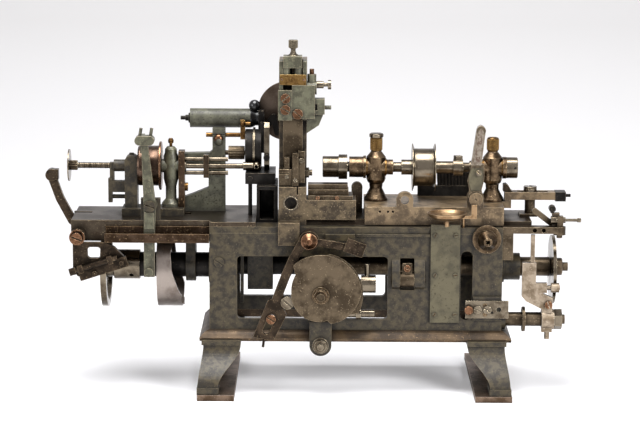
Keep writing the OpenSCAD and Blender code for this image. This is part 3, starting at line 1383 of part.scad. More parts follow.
// Rock shaft in the front wall's lugs, with the arm that reaches into the body
module wall_rock_shaft() {
    color(steel) {
        bar_x(rock_r, rock_x0 - 0.5, rock_x1 + 0.5, rock_y, rock_z);
        bar_x(9.5, recess_x0 + gap, recess_x1 - gap, rock_y, rock_z);
        plate_x([[rock_y - 6, rock_z], [rock_y - 4, rock_z + 21], [rock_y + 3, rock_z + 21],
            [rock_y + 6, rock_z]], recess_x0 + 3, recess_x1 - 3);
        plate_x([[rock_y, rock_z + 6], [rock_y, rock_z - 6], [rock_y + 30, rock_z - 4],
            [rock_y + 30, rock_z + 3]], recess_x0 + 4, recess_x1 - 4);
    }
    color(brass) slotted_head((recess_x0 + recess_x1) / 2, rock_z + 15, rock_y - 7, rock_y - 4.5, 4, 60);
}

// Brass socket for the hand crank, turning in the front wall
module crank_socket() {
    color(brass) difference() {
        union() {
            bar_y(17.5, front_y - 6, front_y - gap, crank_x, crank_z);
            bar_y(12, front_y - 15, front_y - 6, crank_x, crank_z);
            cone_y(5, 12, front_y - 27, front_y - 15, crank_x, crank_z);
            bar_y(crank_r, front_y - gap, front_y + wall + gap, crank_x, crank_z);
            bar_y(9, front_y + wall + gap, front_y + wall + 5, crank_x, crank_z);
        }
        block([crank_x - 2.5, front_y - 28, crank_z - 2.5], [crank_x + 2.5, front_y - 12, crank_z + 2.5]);
    }
}
crank_x = body_right - 20;
crank_z = deck_z - 13;
crank_r = 6;

// Right bracket: angle on the end wall with the screw's upright, and the clamp post with its nut
module right_bracket() {
    x0 = body_right;
    y0 = -60;
    y1 = -45;
    top = deck_z + 1;
    color(steel) difference() {
        union() {
            block([x0, y0, top - 41], [x0 + 13, y1, top - 8]);
            block([x0, y0, top - 8], [x0 + 70, y1, top]);
            bar_z(7.5, top - 10, top, x0 + 70, (y0 + y1) / 2);
            block([x0 + 67, y0 + 3, top], [x0 + 74, y1 - 3, top + 13]);
            bar_z(3.5, top - 14, top - 10, x0 + 70, (y0 + y1) / 2);
            link_y([x0 + 40, top + 18], [x0 + 61, top + 2], 6.8, y1 - 1.4, y1 + 4);
        }
        for (x = [x0 + 39, x0 + 50]) bar_y(2.8, y0 - 1, y0 + 6, x, top - 4);
        bar_x(3 + run, x0 + 66, x0 + 75, screw2_y, screw2_z);
    }
    color(steel) {
        block([x0 + 24, -11, deck_z + 5.5], [x0 + 46, 11, deck_z + 9]);
        bar_z(6.5, deck_z + 9, saddle_z + 2.2, post_x2, 0);
        bar_z(3.9, saddle_z + 2.2, saddle_z + 14, post_x2, 0);
    }
    color(bright) difference() {
        bar_z(8, saddle_z + 12.2, saddle_z + 18, post_x2, 0);
        bar_z(3.9, saddle_z + 12, saddle_z + 14, post_x2, 0);
        block([post_x2 - 9, -0.8, saddle_z + 15.5], [post_x2 + 9, 0.8, saddle_z + 19]);
    }
}
screw2_y = -52.5;
screw2_z = deck_z + 9;
post_x2 = body_right + 37.5;

// Adjusting screw in the right bracket with its knurled ring and ball-ended handle
module adjusting_screw() {
    x0 = body_right + 59;
    color(bright) {
        turned_x([[x0, 0], [x0, 4.8], [x0 + 7.5, 4.8], [x0 + 7.5, 3], [x0 + 15.5, 3], [x0 + 15.5, 3.6],
            [x0 + 18, 3.6], [x0 + 18, 1.9], [x0 + 32, 1.9], [x0 + 32.6, 2.7], [x0 + 36.6, 2.7],
            [x0 + 37.2, 2], [x0 + 37.2, 0]], screw2_y, screw2_z);
    }
}

// Lower shaft at the right end with its washer and end nut
module lower_shaft() {
    color(steel) {
        bar_x(low_shaft_r, body_right, body_right + 68, right_rocker_y, low_shaft_z);
        bar_x(15.5, body_right + 26, body_right + 29.5, right_rocker_y, low_shaft_z);
        translate([body_right + 66, right_rocker_y, low_shaft_z]) rotate([0, 90, 0])
            cylinder(r = 12.5, h = 9, $fn = 6);
        bar_x(6, body_right + 75, body_right + 79, right_rocker_y, low_shaft_z);
    }
}

// Right rocker: hub and leg on the lower shaft, stepped arm, strip and the roller of the disc cam
module right_rocker() {
    x0 = body_right;
    y0 = right_rocker_y - 8;
    y1 = right_rocker_y;
    color(green) difference() {
        union() {
            bar_x(12.5, x0 + 50, x0 + 65.5, right_rocker_y, low_shaft_z);
            block([x0 + 50, y0, low_shaft_z - 15], [x0 + 63, y1, low_shaft_z + 28]);
            plate_y([[x0 + 25, low_shaft_z + 30], [x0 + 30, low_shaft_z + 24], [x0 + 50, low_shaft_z + 14],
                [x0 + 63, low_shaft_z + 28], [x0 + 50, low_shaft_z + 34], [x0 + 42, low_shaft_z + 38],
                [x0 + 42, low_shaft_z + 72], [x0 + 25, low_shaft_z + 72]], y0, y1);
            block([x0 + 35, y0 + 1, low_shaft_z + 72], [x0 + 40, y1 - 2, low_shaft_z + 107]);
            block([x0 + 42, y0, right_roller_z - 6], [x0 + 56, y1, right_roller_z + 6]);
        }
        bar_x(low_shaft_r + run, x0 + 49, x0 + 67, right_rocker_y, low_shaft_z);
    }
    color(bright) {
        bar_x(3, x0 + 56, x0 + 72, right_roller_y, right_roller_z);
        bar_x(right_roller_r, x0 + 61, x0 + 71, right_roller_y, right_roller_z);
    }
    color(copper) {
        bar_z(3.2, low_shaft_z - 24, low_shaft_z - 15, x0 + 57, (y0 + y1) / 2);
        slotted_head(x0 + 58, low_shaft_z + 20, y0 - 3, y0, 4.5, 20);
    }
}

// Swarf dish on its bent rod in front of the saddle, and the bent stop beside it
module swarf_dish() {
    x = body_right - 70;
    y = front_y - 18;
    z = deck_z + 20.5;
    arm_z = deck_z + 8;
    stop_x = body_right - 53.5;
    color(steel) {
        turned_z([[z - 8, 0], [z - 8, 9], [z - 6, 16.5], [z - 2.5, 22], [z + 1.7, 24.2], [z + 1.7, 23],
            [z - 1.4, 20.6], [z - 4.2, 15.4], [z - 6, 8], [z - 6, 0]], x, y);
        bar_z(3, arm_z - 3, z - 7, x, y);
        bar_y(3, y, front_y + 4, x, arm_z);
        bar_z(2.9, deck_z, arm_z, x, front_y + 4);
    }
    color(bright) {
        block([stop_x + 14, front_y - 8, deck_z + 13], [stop_x + 20.5, front_y - 4.5, deck_z + 30]);
        block([stop_x, front_y - 8, deck_z + 13], [stop_x + 14, front_y - 4.5, deck_z + 16.5]);
        bar_y(1.6, front_y - 5, front_y + 3, stop_x + 5, deck_z + 14.7);
        bar_z(1.5, deck_z, deck_z + 14.7, stop_x + 5, front_y + 3);
    }
}

foot_plates();
legs();
plinth();
front_wall();
rear_wall();
end_walls();
deck();
left_bed();
right_bed();
gutter_rail();
cover_plate();
camshaft_hanger();
cross_bracket();
bracket_studs();
swarf_dish();
camshaft_left();
camshaft_right();
camshaft_gear();
drive_wheel();
bell_cam();
disc_cam();
cross_shaft();
cross_gear();
plate_cam();
cam_nut();
rocker_arm();
rocker_roller();
rocker_pivot();
feed_lever();
feed_lever_slide();
headstock();
spindle();
headstock_pulley();
feed_rod();
shifter_bracket();
belt_shifter();
guide_bracket();
guide_head();
guide_knob();
overhead_shaft();
chip_box();
column();
column_head();
tool_slide();
slide_knob();
index_disc();
cross_slide();
right_saddle();
thread_pillars();
oil_cups();
thread_spindle();
thread_drum();
quill_collar();
thread_lever();
wall_rock_shaft();
crank_socket();
right_bracket();
adjusting_screw();
lower_shaft();
right_rocker();
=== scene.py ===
"""Looks of a small bench screw making lathe, dressed around its packed frame.

Every length in this file is written in millimetres and turned to metres by MM. The frame gives the place of
each part, and the finishes here are worn enamel, patinated steel, blackened iron and aged brass.
"""

import logging
import math
from collections.abc import Sequence
from dataclasses import dataclass
from enum import Enum

import bmesh
import bpy
from mathutils import Matrix, Vector


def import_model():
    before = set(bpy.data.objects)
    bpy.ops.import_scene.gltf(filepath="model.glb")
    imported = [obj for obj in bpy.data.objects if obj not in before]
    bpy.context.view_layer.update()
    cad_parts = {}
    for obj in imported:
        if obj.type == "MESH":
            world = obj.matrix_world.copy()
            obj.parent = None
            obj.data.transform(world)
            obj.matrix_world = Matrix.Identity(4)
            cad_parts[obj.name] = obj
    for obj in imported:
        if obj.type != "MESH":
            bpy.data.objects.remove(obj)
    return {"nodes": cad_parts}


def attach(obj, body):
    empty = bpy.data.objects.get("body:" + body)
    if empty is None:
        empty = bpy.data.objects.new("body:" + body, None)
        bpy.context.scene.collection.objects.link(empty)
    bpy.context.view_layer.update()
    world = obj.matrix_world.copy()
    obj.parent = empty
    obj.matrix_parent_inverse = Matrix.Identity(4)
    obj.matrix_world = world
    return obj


MM = 0.001
LOG = logging.getLogger("screw_lathe")

Point = tuple[float, float, float]
Settings = dict[str, object]
Inputs = dict[object, object]


def linear(hex_colour: str) -> tuple[float, float, float, float]:
    """Turns an sRGB hex colour into the linear colour that a shader reads.

    Args:
        hex_colour: six hex digits, with or without a leading hash.

    Returns:
        Linear red, green, blue and an alpha of one.
    """
    digits = hex_colour.lstrip("#")
    channels = [int(digits[i : i + 2], 16) / 255 for i in (0, 2, 4)]
    red, green, blue = (c / 12.92 if c <= 0.04045 else ((c + 0.055) / 1.055) ** 2.4 for c in channels)
    return red, green, blue, 1.0


def add_node(
    tree: bpy.types.NodeTree, kind: str, settings: Settings | None = None, inputs: Inputs | None = None
) -> bpy.types.Node:
    """Adds one node with its settings, its input values and its links.

    Args:
        tree: the node tree that the node goes into.
        kind: Blender's name of the node type.
        settings: node properties by name.
        inputs: values or output sockets, by the input's name or number.

    Returns:
        The new node.
    """
    node = tree.nodes.new(kind)
    for name, value in (settings or {}).items():
        setattr(node, name, value)
    for key, value in (inputs or {}).items():
        if isinstance(value, bpy.types.NodeSocket):
            tree.links.new(value, node.inputs[key])
        else:
            node.inputs[key].default_value = value
    return node


class Axis(Enum):
    """The machine's three directions."""

    X = Vector((1, 0, 0))
    Y = Vector((0, 1, 0))
    Z = Vector((0, 0, 1))


class Mix(Enum):
    """Numbers of the sockets of a Mix node that mixes colours."""

    FACTOR = 0
    FIRST = 6
    SECOND = 7
    RESULT = 2


# A noise gathers round its middle: shares from 0 to 1 are laid over this low value and span of it
NOISE_LOW = 0.28
NOISE_SPAN = 0.44
NOISE_ROUGHNESS = 0.62
PATCH_DETAIL = 4.0
SPECK_DETAIL = 3.0
PATCH_BORDER = 0.24
SPECK_BORDER = 0.05
# How far the patches make the surface smoother and rougher, and the grime rougher still
SMOOTHER = 0.09
ROUGHER = 0.13
GRIME_ROUGHER = 0.25
# Bend of the surface at which rubbing starts and is full, and its reach in widths of the rubbed edge
RUB_LIMITS = (0.015, 0.09)
RUB_REACH = 3
# Open air at which the grime and the painted corner shade are full and have gone, and how much of the colour
# they hide
GRIME_AND_SHADE_LIMITS = (0.35, 0.95)
SHADE_AND_GRIME_COVER = 0.85
SOFT_EDGE_MM = 0.5
RELIEF_STRENGTH = 0.5


@dataclass(frozen=True)
class Finish:
    """A surface finish that all the metal of the machine shares, with wear worked out from the shape.

    Attributes:
        name: the finish in a maker's words.
        base: main colour as sRGB hex.
        shade: colour of the darker patches.
        worn: colour of rubbed edges and scratches.
        grime_and_shade: colour of oil and dust in the corners, and of the shade painted into them.
        metallic: 1 for bare metal, 0 for paint.
        worn_metallic: the same for the rubbed edges.
        roughness: middle roughness.
        patch_mm: size of the darker patches.
        patch_amount: share of the surface that the patches take.
        speck_mm: size of the small chips or pits.
        speck_amount: share of the surface that the chips take.
        edge_mm: width of the rubbed edge.
        corner_mm: how far the grime and the painted shade reach out of a corner.
        grain: stretch of the machining marks along X, Y and Z, zero for none.
        relief_mm: depth of the surface's small relief.
        gloss: strength of the reflections on paint, 0.5 for a clean coat.
    """

    name: str
    base: str
    shade: str
    worn: str
    grime_and_shade: str
    metallic: float = 1.0
    worn_metallic: float = 1.0
    roughness: float = 0.35
    patch_mm: float = 24.0
    patch_amount: float = 0.5
    speck_mm: float = 2.5
    speck_amount: float = 0.1
    edge_mm: float = 1.0
    corner_mm: float = 12.0
    grain: Point = (0.0, 0.0, 0.0)
    relief_mm: float = 0.08
    gloss: float = 0.5

    def build(self) -> bpy.types.Material:
        """Builds the finish as a material.

        Returns:
            The material, which reads Object coordinates only.
        """
        material = bpy.data.materials.new(self.name)
        material.use_nodes = True
        tree = material.node_tree
        tree.nodes.clear()
        place = add_node(tree, "ShaderNodeTexCoord").outputs["Object"]
        patches, patch_mask = self._lumps(
            tree, place, self.patch_mm, PATCH_DETAIL, self.patch_amount, PATCH_BORDER)
        specks, speck_mask = self._lumps(
            tree, place, self.speck_mm, SPECK_DETAIL, self.speck_amount, SPECK_BORDER)
        edges = self._edge_mask(tree, specks)
        corners = self._shade_and_grime_mask(tree)
        colour = linear(self.base)
        # The last layer paints shade into the inner corners, in the colour of their oil and dust
        layers = (
            (self.shade, patch_mask), (self.worn, speck_mask), (self.worn, edges), (self.grime_and_shade, corners))
        for tint, mask in layers:
            sets = {Mix.FACTOR.value: mask, Mix.FIRST.value: colour, Mix.SECOND.value: linear(tint)}
            mixed = add_node(tree, "ShaderNodeMix", {"data_type": "RGBA"}, sets)
            colour = mixed.outputs[Mix.RESULT.value]
        bare = add_node(
            tree, "ShaderNodeMath", {"operation": "MAXIMUM"}, {0: edges, 1: speck_mask}
        ).outputs[0]
        limits = {0: bare, 3: self.metallic, 4: self.worn_metallic}
        metallic = add_node(tree, "ShaderNodeMapRange", inputs=limits).outputs[0]
        limits = {0: patches, 3: self.roughness - SMOOTHER, 4: self.roughness + ROUGHER}
        clean = add_node(tree, "ShaderNodeMapRange", inputs=limits).outputs[0]
        dull = add_node(
            tree, "ShaderNodeMath", {"operation": "MULTIPLY_ADD"}, {0: corners, 1: GRIME_ROUGHER, 2: clean}
        ).outputs[0]
        shader = add_node(
            tree,
            "ShaderNodeBsdfPrincipled",
            inputs={
                "Base Color": colour,
                "Metallic": metallic,
                "Roughness": dull,
                "Normal": self._relief(tree, place, specks),
                "Specular IOR Level": self.gloss,
            },
        )
        add_node(tree, "ShaderNodeOutputMaterial", inputs={"Surface": shader.outputs[0]})
        return material

    def _lumps(
        self, tree: bpy.types.NodeTree, place: bpy.types.NodeSocket, size_mm: float, detail: float,
        amount: float, border: float,
    ) -> tuple[bpy.types.NodeSocket, bpy.types.NodeSocket]:
        """Adds lumps of a real size, as a noise and as a mask over their highest share.

        Args:
            tree: the material's tree.
            place: the coordinates that it reads.
            size_mm: size of a lump.
            detail: number of finer layers.
            amount: share of the surface that the mask takes.
            border: how soft the mask's border is.

        Returns:
            The noise and the mask, both from 0 to 1.
        """
        scale = 1 / (size_mm * MM)
        sets = {"Vector": place, "Scale": scale, "Detail": detail, "Roughness": NOISE_ROUGHNESS}
        noise = add_node(tree, "ShaderNodeTexNoise", inputs=sets).outputs[0]
        low = NOISE_LOW + NOISE_SPAN * (1.0 - amount) - border / 2
        limits = {0: noise, 1: low, 2: low + border, 3: 0.0, 4: 1.0}
        mask = add_node(tree, "ShaderNodeMapRange", {"interpolation_type": "SMOOTHSTEP"}, limits).outputs[0]
        return noise, mask

    def _edge_mask(self, tree: bpy.types.NodeTree, specks: bpy.types.NodeSocket) -> bpy.types.NodeSocket:
        """Finds the outer edges, where hands and rags have rubbed the finish away.

        Args:
            tree: the material's tree.
            specks: fine noise that breaks the border up.

        Returns:
            The mask of rubbed edges.
        """
        rounded = add_node(tree, "ShaderNodeBevel", {"samples": 4}, {"Radius": self.edge_mm * MM}).outputs[0]
        true = add_node(tree, "ShaderNodeNewGeometry").outputs["Normal"]
        match = add_node(tree, "ShaderNodeVectorMath", {"operation": "DOT_PRODUCT"}, {0: rounded, 1: true})
        bend = add_node(
            tree, "ShaderNodeMath", {"operation": "SUBTRACT"}, {0: 1.0, 1: match.outputs["Value"]}
        ).outputs[0]
        reach = {"Distance": RUB_REACH * self.edge_mm * MM}
        open_air = add_node(tree, "ShaderNodeAmbientOcclusion", {"samples": 4}, reach).outputs["AO"]
        rubbed = bend
        for factor in (open_air, specks):
            rubbed = add_node(
                tree, "ShaderNodeMath", {"operation": "MULTIPLY"}, {0: rubbed, 1: factor}
            ).outputs[0]
        start, full = RUB_LIMITS
        return add_node(tree, "ShaderNodeMapRange", inputs={0: rubbed, 1: start, 2: full}).outputs[0]

    def _shade_and_grime_mask(self, tree: bpy.types.NodeTree) -> bpy.types.NodeSocket:
        """Finds the inner corners, where oil and dust have stayed and where shade is painted.

        Args:
            tree: the material's tree.

        Returns:
            The mask of grime and painted shade.
        """
        full, gone = GRIME_AND_SHADE_LIMITS
        reach = {"Distance": self.corner_mm * MM}
        # Ambient occlusion finds the corners: the darkening there is painted shade as well as grime
        open_air = add_node(tree, "ShaderNodeAmbientOcclusion", {"samples": 6}, reach).outputs["AO"]
        limits = {0: open_air, 1: full, 2: gone, 3: 1.0, 4: 0.0}
        near = add_node(tree, "ShaderNodeMapRange", inputs=limits).outputs[0]
        return add_node(
            tree, "ShaderNodeMath", {"operation": "MULTIPLY", "use_clamp": True}, {0: near, 1: SHADE_AND_GRIME_COVER}
        ).outputs[0]

    def _relief(
        self, tree: bpy.types.NodeTree, place: bpy.types.NodeSocket, specks: bpy.types.NodeSocket
    ) -> bpy.types.NodeSocket:
        """Gives the surface its cast or machined relief.

        Args:
            tree: the material's tree.
            place: the coordinates that it reads.
            specks: fine noise for a cast skin.

        Returns:
            The bumped normal.
        """
        height = specks
        if any(self.grain):
            stretched = add_node(
                tree, "ShaderNodeVectorMath", {"operation": "MULTIPLY"}, {0: place, 1: self.grain}
            ).outputs[0]
            height = add_node(
                tree, "ShaderNodeTexNoise", inputs={"Vector": stretched, "Scale": 1.0, "Detail": 2.0}
            ).outputs[0]
        soft = add_node(tree, "ShaderNodeBevel", {"samples": 4}, {"Radius": SOFT_EDGE_MM * MM}).outputs[0]
        depth = self.relief_mm * MM
        sets = {"Height": height, "Strength": RELIEF_STRENGTH, "Distance": depth, "Normal": soft}
        return add_node(tree, "ShaderNodeBump", inputs=sets).outputs[0]


# Closeness of machining marks across and along the cut: real ones lie about 0.1 mm apart, and these are
# drawn coarser so that they show
FINE = 1 / (0.7 * MM)
COARSE = 1 / (60 * MM)


class Finishes:
    """The machine's finishes, each built once, and the parts that wear them."""

    # Grey-green machine enamel brushed on iron castings: dull, oil-stained and chipped to dark metal
    enamel = Finish(
        "worn_green_enamel", "#403828", "#221d15", "#6a5f49", "#0d0b09", metallic=0.0, worn_metallic=0.4,
        roughness=0.4, gloss=0.32, patch_mm=9, patch_amount=0.5, speck_mm=1.2, speck_amount=0.12,
        edge_mm=0.9, relief_mm=0.14,
    )
    # The same enamel on a plate that hands seldom touch: greener, with a few dark stains
    cover_enamel = Finish(
        "cover_enamel", "#534d3a", "#3d3829", "#37301f", "#1a1712", metallic=0.0, worn_metallic=0.1,
        roughness=0.38, gloss=0.35, patch_mm=20, patch_amount=0.45, speck_mm=2.6, speck_amount=0.2,
        edge_mm=0.7,
    )
    # Enamel rubbed to the iron on the parts that hands hold
    rubbed_enamel = Finish(
        "rubbed_enamel", "#5b4e3a", "#30271b", "#97846a", "#120e0a", metallic=0.35, worn_metallic=0.8,
        roughness=0.34, gloss=0.4, patch_mm=11, patch_amount=0.5, speck_mm=1.7, speck_amount=0.16,
        edge_mm=1.2,
    )
    # Grey-green enamel on the levers and posts, rubbed to warm iron by hands
    rubbed_green = Finish(
        "rubbed_green", "#575645", "#3a382b", "#9b9078", "#14120d", metallic=0.15, worn_metallic=0.8,
        roughness=0.36, gloss=0.4, patch_mm=10, patch_amount=0.5, speck_mm=1.5, speck_amount=0.14,
        edge_mm=1.1,
    )
    # The saddle's enamel, worn nearly through to warm grey iron
    thin_enamel = Finish(
        "thin_enamel", "#76644c", "#4a3d2d", "#a08c70", "#16110c", metallic=0.4, worn_metallic=0.8,
        roughness=0.36, gloss=0.4, patch_mm=14, patch_amount=0.5, speck_mm=1.5, speck_amount=0.14,
        edge_mm=1.2,
    )
    # Turned steel browned by oil and rubbed bright: a dark bronze look with sharp highlights
    browned_steel = Finish(
        "browned_steel", "#6e5c47", "#3f3327", "#b19b7c", "#120d09", roughness=0.27, patch_mm=11,
        patch_amount=0.5, speck_mm=1.6, speck_amount=0.12, edge_mm=0.8, corner_mm=8, relief_mm=0.02,
    )
    # Bare mild steel left to turn brown under old oil: dull metal with darker clouds
    patinated_steel = Finish(
        "patinated_steel", "#5f5343", "#3d3429", "#95846b", "#120e0a", roughness=0.34, patch_mm=22,
        patch_amount=0.5, speck_mm=1.8, speck_amount=0.12, grain=(FINE, COARSE, COARSE), relief_mm=0.03,
    )
    # Older patina on the levers: nearly black-brown, rubbed on the edges
    dark_patina = Finish(
        "dark_patina", "#40352a", "#261f18", "#8f7c62", "#0d0a07", metallic=0.9, roughness=0.34,
        gloss=0.35, patch_mm=14, patch_amount=0.5, speck_mm=1.8, speck_amount=0.14, edge_mm=0.9,
        relief_mm=0.03,
    )
    # The broad bed slabs, planed and stained darker than the small parts
    planed_bed = Finish(
        "planed_bed", "#4f463b", "#342b23", "#85755e", "#100d0a", roughness=0.36, patch_mm=40,
        patch_amount=0.5, speck_mm=2.2, speck_amount=0.14, grain=(COARSE, FINE, FINE), relief_mm=0.03,
    )
    # Ground and polished spindle steel: a dark mirror with warm stains
    polished_steel = Finish(
        "polished_steel", "#73695a", "#4b4236", "#b3a78f", "#17120d", roughness=0.2, patch_mm=18,
        patch_amount=0.4, speck_mm=1.4, speck_amount=0.06, corner_mm=7, grain=(FINE, COARSE, COARSE),
        relief_mm=0.012,
    )
    # The bell cam's ground face: pale steel that few oils have stained
    pale_steel = Finish(
        "pale_steel", "#8f857d", "#6d625a", "#b5aa9d", "#1a1410", roughness=0.3, patch_mm=30,
        patch_amount=0.4, speck_mm=1.6, speck_amount=0.06, corner_mm=9, grain=(FINE, COARSE, COARSE),
        relief_mm=0.012,
    )
    # The belt pulley's turned face: brown-violet under old varnish, with soft highlights
    varnished_steel = Finish(
        "varnished_steel", "#554439", "#372b24", "#8f7a66", "#120d0a", roughness=0.26, patch_mm=14,
        patch_amount=0.45, speck_mm=1.4, speck_amount=0.08, corner_mm=6, grain=(FINE, COARSE, COARSE),
        relief_mm=0.012,
    )
    # Iron blackened by oil and handling: almost no colour, with a low sheen
    black_iron = Finish(
        "blackened_iron", "#282522", "#151311", "#5f564a", "#080706", metallic=0.75, roughness=0.36,
        gloss=0.3, patch_mm=18, patch_amount=0.5, speck_mm=2.0, speck_amount=0.08, edge_mm=0.7,
    )
    # Brass gone brown where no hand wears it
    aged_brass = Finish(
        "aged_brass", "#745631", "#45301b", "#b8955d", "#1c1309", roughness=0.27, patch_mm=9,
        patch_amount=0.5, speck_mm=1.2, speck_amount=0.1, corner_mm=5, grain=(COARSE, COARSE, FINE),
        relief_mm=0.012,
    )
    # The bare plate: yellow brass with brown stains
    bright_brass = Finish(
        "stained_brass", "#80633a", "#5b4326", "#b39560", "#2a1c0c", roughness=0.3, patch_mm=7,
        patch_amount=0.45, speck_mm=1.4, speck_amount=0.14, corner_mm=3, relief_mm=0.03,
    )
    # The threading lever's handle: bare steel that hands keep pale
    lever_steel = Finish(
        "hand_worn_steel", "#918678", "#685c4e", "#bcb2a3", "#1f1914", roughness=0.26, patch_mm=8,
        patch_amount=0.4, speck_mm=1.6, speck_amount=0.1, corner_mm=4, relief_mm=0.02,
    )
    # The lever's sunk panel: rust and old paint in patches
    rusty_inset = Finish(
        "rusty_inset", "#7d7468", "#4a3528", "#a89e90", "#1a130d", metallic=0.5, roughness=0.45,
        patch_mm=7, patch_amount=0.5, speck_mm=1.6, speck_amount=0.15, corner_mm=3, relief_mm=0.08,
    )
    # Black knob: lacquered, mirror smooth
    glossy_black = Finish(
        "glossy_black", "#141315", "#0b0b0c", "#3a3735", "#050505", metallic=0.0, worn_metallic=0.3,
        roughness=0.13, patch_mm=14, patch_amount=0.4, speck_mm=1.6, speck_amount=0.03, relief_mm=0.004,
    )
    # Grey-green enamel on the overhead shaft and its bracket: paler, mottled with dark chips
    mottled_enamel = Finish(
        "mottled_enamel", "#504f41", "#3a392e", "#211d17", "#171511", metallic=0.0, worn_metallic=0.1,
        roughness=0.42, gloss=0.35, patch_mm=9, patch_amount=0.5, speck_mm=2.2, speck_amount=0.26,
        edge_mm=0.6, relief_mm=0.1,
    )
    # Pale bronze sheet of the swarf dish: warm tan, with a soft sheen
    pale_bronze = Finish(
        "pale_bronze", "#9b8061", "#73593f", "#c9ad86", "#241a10", roughness=0.33, patch_mm=12,
        patch_amount=0.4, speck_mm=1.4, speck_amount=0.08, corner_mm=5, relief_mm=0.012,
    )
    # Screws and pins of brown bronze: only the rubbed rims keep a copper glow
    bronze = Finish(
        "browned_bronze", "#70503b", "#483324", "#b08b6d", "#1a110b", roughness=0.26, patch_mm=6,
        patch_amount=0.45, speck_mm=1.0, speck_amount=0.1, corner_mm=3, relief_mm=0.01,
    )
    # Steel with a dark coppery rust bloom, on the gutter and the headstock's end plate
    russet_steel = Finish(
        "russet_steel", "#4b3c30", "#2e2319", "#80694f", "#110c08", roughness=0.4, patch_mm=30,
        patch_amount=0.5, speck_mm=2.4, speck_amount=0.18, edge_mm=1.0,
    )
    # The plinth's moulded iron under a tan bloom of old oil
    dull_russet = Finish(
        "dull_russet", "#51412f", "#31271d", "#7c6953", "#0f0b08", metallic=0.4, roughness=0.45,
        gloss=0.3, patch_mm=26, patch_amount=0.5, speck_mm=2.2, speck_amount=0.16, edge_mm=1.0,
    )
    # Foot plates: bare steel gone pinkish tan on the floor
    tan_steel = Finish(
        "tan_steel", "#84705f", "#594838", "#a8968a", "#1a120c", roughness=0.42, patch_mm=24,
        patch_amount=0.5, speck_mm=2.0, speck_amount=0.16, edge_mm=0.9,
    )
    # Cast iron rubbed pale, on the right rocker
    pale_iron = Finish(
        "pale_iron", "#988a78", "#6e604f", "#c3b5a2", "#1d1610", roughness=0.38, patch_mm=12,
        patch_amount=0.5, speck_mm=1.5, speck_amount=0.14, edge_mm=1.0, relief_mm=0.1,
    )
    # The large index disc: dull grey-brown, faced in the lathe
    faced_disc = Finish(
        "faced_disc", "#5c5047", "#443930", "#7d6d59", "#17120d", roughness=0.42, patch_mm=30,
        patch_amount=0.4, speck_mm=1.6, speck_amount=0.06, grain=(FINE, COARSE, COARSE), relief_mm=0.02,
    )
    worn_by = {
        "enamel": ("legs", "front_wall", "rear_wall", "end_walls", "deck", "camshaft_hanger", "cross_bracket",
                   "headstock", "shifter_bracket"),
        "mottled_enamel": ("guide_bracket", "overhead_shaft"),
        "cover_enamel": ("cover_plate",),
        "rubbed_enamel": ("column", "thread_lever"),
        "rubbed_green": ("column_head", "belt_shifter"),
        "varnished_steel": ("headstock_pulley",),
        "pale_iron": ("right_rocker",),
        "thin_enamel": ("right_saddle",),
        "browned_steel": ("thread_pillars", "crank_socket", "cam_nut"),
        "patinated_steel": ("plate_cam", "camshaft_right", "cross_shaft", "tool_slide", "cross_slide",
                            "right_bracket", "lower_shaft", "guide_knob", "wall_rock_shaft", "camshaft_gear",
                            "cross_gear"),
        "dark_patina": ("rocker_arm", "feed_lever", "feed_lever_slide"),
        "planed_bed": ("left_bed", "right_bed"),
        "polished_steel": ("bracket_studs", "drive_wheel", "disc_cam", "rocker_roller", "spindle",
                           "slide_knob", "thread_spindle", "thread_drum", "adjusting_screw", "feed_rod"),
        "pale_steel": ("bell_cam",),
        "black_iron": ("camshaft_left", "guide_head", "chip_box"),
        "aged_brass": ("oil_cups", "quill_collar"),
        "pale_bronze": ("swarf_dish",),
        "bronze": ("rocker_pivot",),
        "russet_steel": ("gutter_rail",),
        "tan_steel": ("foot_plates",),
        "dull_russet": ("plinth",),
        "faced_disc": ("index_disc",),
    }

    def __init__(self) -> None:
        """Builds every finish once."""
        finishes = {name: made for name, made in vars(Finishes).items() if isinstance(made, Finish)}
        self.made = {name: made.build() for name, made in finishes.items()}

    def dress(self, nodes: dict[str, bpy.types.Object]) -> None:
        """Gives each part of the frame its finish.

        Args:
            nodes: the frame's parts by name.
        """
        for finish, parts in self.worn_by.items():
            for part in parts:
                wear(nodes[part], self.made[finish])
                LOG.info("%s wears %s", part, finish)


def wear(piece: bpy.types.Object, material: bpy.types.Material) -> None:
    """Puts one material on every face of a piece.

    Args:
        piece: the piece.
        material: its material.
    """
    piece.data.materials.clear()
    piece.data.materials.append(material)
    for face in piece.data.polygons:
        face.material_index = 0


class Slot(Enum):
    """The record's material slots."""

    GREEN = "green_paint"
    BROWN = "brown_steel"
    BRIGHT = "bright_steel"
    DARK = "dark_iron"
    BRASS = "brass"
    COPPER = "copper_brown"
    BRONZE = "bronze"


def along(axis: Axis, station: float, at: tuple[float, float]) -> Vector:
    """Gives a point by its place along an axis and its two other coordinates.

    Args:
        axis: the axis that the station is measured on.
        station: place along the axis.
        at: the two other coordinates, in the order X, Y, Z.

    Returns:
        The point.
    """
    first, second = at
    places = {
        Axis.X: (station, first, second),
        Axis.Y: (first, station, second),
        Axis.Z: (first, second, station),
    }
    return Vector(places[axis])


# A slotted head: shares of its height below the slot and of its radius for half the slot
SLOT_FLOOR = 0.55
SLOT_HALF = 0.14
# Where the curved side of half a head stops, and the number of its facets
SLOT_STOP_DEG = 82
SLOT_FACETS = 12
# Facets round a turned shape, and the angle from which an edge stays sharp in the shading
TURNED_SIDES = 40
SHARP_DEG = 32


